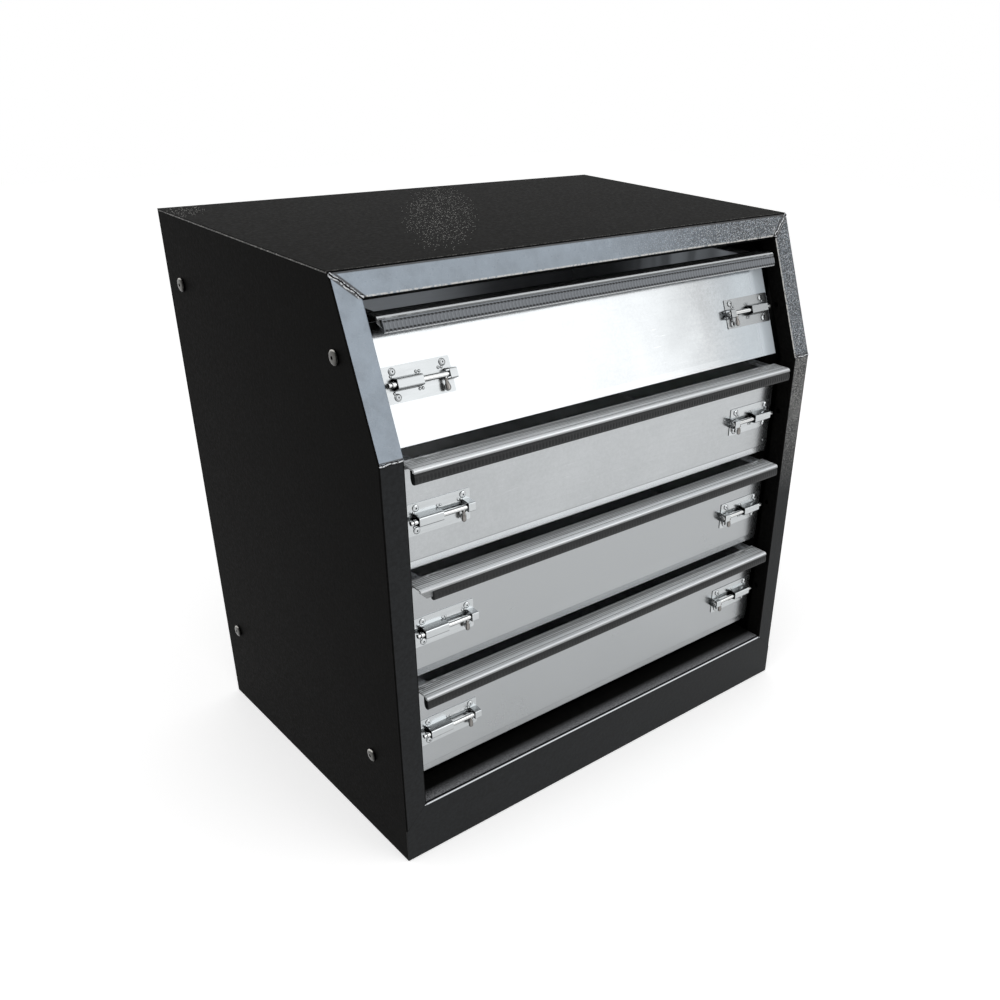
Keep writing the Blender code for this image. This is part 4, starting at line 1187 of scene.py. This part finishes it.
class SlideBoltOperator(bpy.types.Operator):
    """Presses the slide bolts' plates, turns their rods and hangs their knobs."""

    bl_idname = "canopy_drawers.slide_bolts"
    bl_label = "Slide bolts"

    STANDOFF = 0.0085
    SHEET = 0.0012
    BARREL_START = 0.0145
    KNOB_INSET = 0.019
    RIVET = ((0.0050, -0.0008), (0.0052, 0.0002), (0.0049, 0.0010), (0.0039, 0.0017), (0.0024, 0.0020),
             (0.0014, 0.0020), (0.0011, 0.0008), (0.0007, 0.0003))
    PIP = ((0.0022, -0.0006), (0.0022, 0.0002), (0.0018, 0.0008), (0.0011, 0.0012), (0.0004, 0.0013))
    TIP = ((0.55, 0), (0.80, 0.0003), (0.86, 0.0010), (0.86, 0.0030), (0.62, 0.0036), (0.62, 0.0050),
           (0.93, 0.0056), (1, 0.0064))
    KNOB = ((0.0023, 0), (0.0022, 0.0046), (0.0030, 0.0054), (0.0031, 0.0064), (0.0022, 0.0074),
            (0.0021, 0.0090), (0.0028, 0.0112), (0.0034, 0.0140), (0.0035, 0.0172), (0.0031, 0.0196),
            (0.0020, 0.0208), (0.0008, 0.0211))

    def execute(self, context):
        plate, rod = self.plate(), self.rod()
        for number in DRAWERS:
            for word, side in SIDES.items():
                start = at(side * (HALF_WIDTH - TRAY_INSET - 0.002))
                place = bolt_frame(number) @ start @ Matrix.Scale(-side, 4, (1, 0, 0))
                # The top drawer's plates get the darker copy of the steel, which is painted shade.
                end, steel = f"{number}_{word}", "shaded_steel" if number == 1 else "pressed_steel"
                item = smooth(copy_of(plate, f"pressed_plate_{end}", place), 30)
                dress(item, steel, f"drawer_{number}", "stainless_plate", f"bolt_plate_{end}")
                item = smooth(copy_of(rod, f"turned_rod_{end}", place), 30)
                dress(item, "polished_steel knob_steel", f"bolt_{end}", "stainless_rod", f"bolt_rod_{end}")
                self.darken_knob(item, place.inverted())
        bpy.data.objects.remove(plate)
        bpy.data.objects.remove(rod)
        return {"FINISHED"}

    def darken_knob(self, item, inverse):
        """Gives the knob, which hangs below the rod, its own darker steel, which is a painted dark reflection.
        """
        for face in item.data.polygons:
            face.material_index = int((inverse @ face.center).z < -looks().bolts.rod_radius - 0.0004)

    def plate(self):
        """Plate with the barrel at its outer end, the loop at its inner end, rivets and stop pips."""
        values = looks().bolts
        length, half, start = values.plate_length, values.plate_height / 2, self.BARREL_START
        inner = start + values.barrel_length
        base = block((0, -self.SHEET, -half), (length, -0.0003, half))
        edit(base)
        pick(base, lambda edge: abs((edge.verts[0].co - edge.verts[1].co).normalized().y) > 0.9, "edges")
        rounded(0.0022, 3)
        leave()
        for low, high in ((start - 0.0020, inner + 0.0030), (length - 0.0130, length - 0.0010)):
            cut(base, block((low, -0.01, -0.0070), (high, 0.01, 0.0070)))
        edit(base)
        pick(base, lambda edge: edge.calc_face_angle(0) > 1 and
             all(vertex.co.y < -self.SHEET + 0.0001 for vertex in edge.verts), "edges")
        rounded(0.0003, 2, True)
        leave()
        pieces = [base, self.strap(start, inner, 0.0066, 0.0088, 0.0022),
                  self.strap(length - 0.0110, length + 0.0004, 0.0064, 0.0080, 0.0012)]
        for x in (0.017, length - 0.012):
            for z in (0.007 - half, half - 0.007):
                pieces.append(self.stud(x, z, self.RIVET, 24))
        for x, z in ((inner - 0.0022, 0.0112), (inner + 0.0026, 0.0110), (inner - 0.0022, -0.0112),
                     (inner + 0.0026, -0.0110), (length - 0.0148, 0.0104), (length - 0.0196, 0.0106),
                     (length - 0.0120, -0.0100), (start - 0.0010, 0.0108), (start - 0.0010, -0.0108)):
            pieces.append(self.stud(x, z, self.PIP, 14))
        return joined("plate_pattern", pieces)

    def strap(self, low, high, half, foot, corner):
        """A bent strap over the rod: flat front, sloping sides and both ends open."""
        front, back = self.STANDOFF + 0.0060, self.SHEET + 0.0001
        item = block((low, -front, -foot), (high, -back, foot))
        edit(item)
        pick(item, lambda face: face.normal.y < -0.9)
        bpy.ops.transform.resize(value=(1, 1, half / foot), center_override=((low + high) / 2, -front, 0))
        pick(item, lambda edge: all(v.co.y < -front + 0.0001 for v in edge.verts) and
             abs(edge.verts[0].co.x - edge.verts[1].co.x) > 0.001, "edges")
        rounded(corner, 4)
        pick(item, lambda face: abs(face.normal.x) > 0.9 or face.normal.y > 0.9)
        bpy.ops.mesh.delete(type="FACE")
        face_outwards()
        leave()
        if min(item.data.polygons, key=lambda face: face.center.y).normal.y > 0:
            item.data.flip_normals()
        changed(item, "SOLIDIFY", thickness=0.0013, offset=-1, use_even_offset=True)
        return changed(item, "BEVEL", width=0.0002, segments=2, limit_method="ANGLE",
                       angle_limit=math.radians(60))

    def stud(self, x, z, profile, sides):
        """A low round form on the plate: a domed rivet with a hole at its middle, or a pressed stop."""
        item = turned([(radius, self.SHEET + rise) for radius, rise in profile], sides)
        return placed(item, at(x, 0, z, math.pi / 2))

    def rod(self):
        """Rod with a stepped tip, and the knob that hangs from it."""
        radius, length = looks().bolts.rod_radius, looks().bolts.plate_length
        steps = (*self.TIP, (1, length - 0.0020), (0.8, length - 0.001))
        item = turned([(radius * share, level) for share, level in steps], 28)
        placed(item, at(turn=math.pi / 2, axis="Y"))
        knob = turned(self.KNOB, 24)
        placed(knob, at(length - self.KNOB_INSET, turn=math.pi))
        return placed(joined("rod_pattern", [item, knob]), at(0.003, -self.STANDOFF))


class DrawerUnitPanel(bpy.types.Panel):
    """Lists the values and the steps in the 3D view's sidebar."""

    bl_idname = "VIEW3D_PT_canopy_drawers"
    bl_label = "Canopy drawer unit"
    bl_space_type = "VIEW_3D"
    bl_region_type = "UI"
    bl_category = "Drawer unit"

    def draw(self, context):
        values = context.scene.canopy_drawers
        for group in (values.cabinet, values.drawers, values.bolts, values.stage):
            box = self.layout.box()
            for key in group.bl_rna.properties.keys():
                if key not in ("rna_type", "name"):
                    box.prop(group, key)
        for step in STEPS:
            self.layout.operator(step.bl_idname)


GROUPS = (CabinetLooks, DrawerLooks, BoltLooks, StageLooks, CanopyDrawerLooks)
STEPS = (StageOperator, CabinetOperator, WeldOperator, UprightOperator, DrawerOperator, GripOperator,
         SlideBoltOperator)


def register():
    for each in (*GROUPS, *STEPS, DrawerUnitPanel):
        bpy.utils.register_class(each)
    bpy.types.Scene.canopy_drawers = PointerProperty(type=CanopyDrawerLooks)


def unregister():
    del bpy.types.Scene.canopy_drawers
    for each in (DrawerUnitPanel, *reversed(STEPS), *reversed(GROUPS)):
        bpy.utils.unregister_class(each)


def main():
    register()
    for step in STEPS:
        family, action = step.bl_idname.split(".")
        getattr(getattr(bpy.ops, family), action)()
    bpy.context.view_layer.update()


if __name__ == "__main__":
    main()
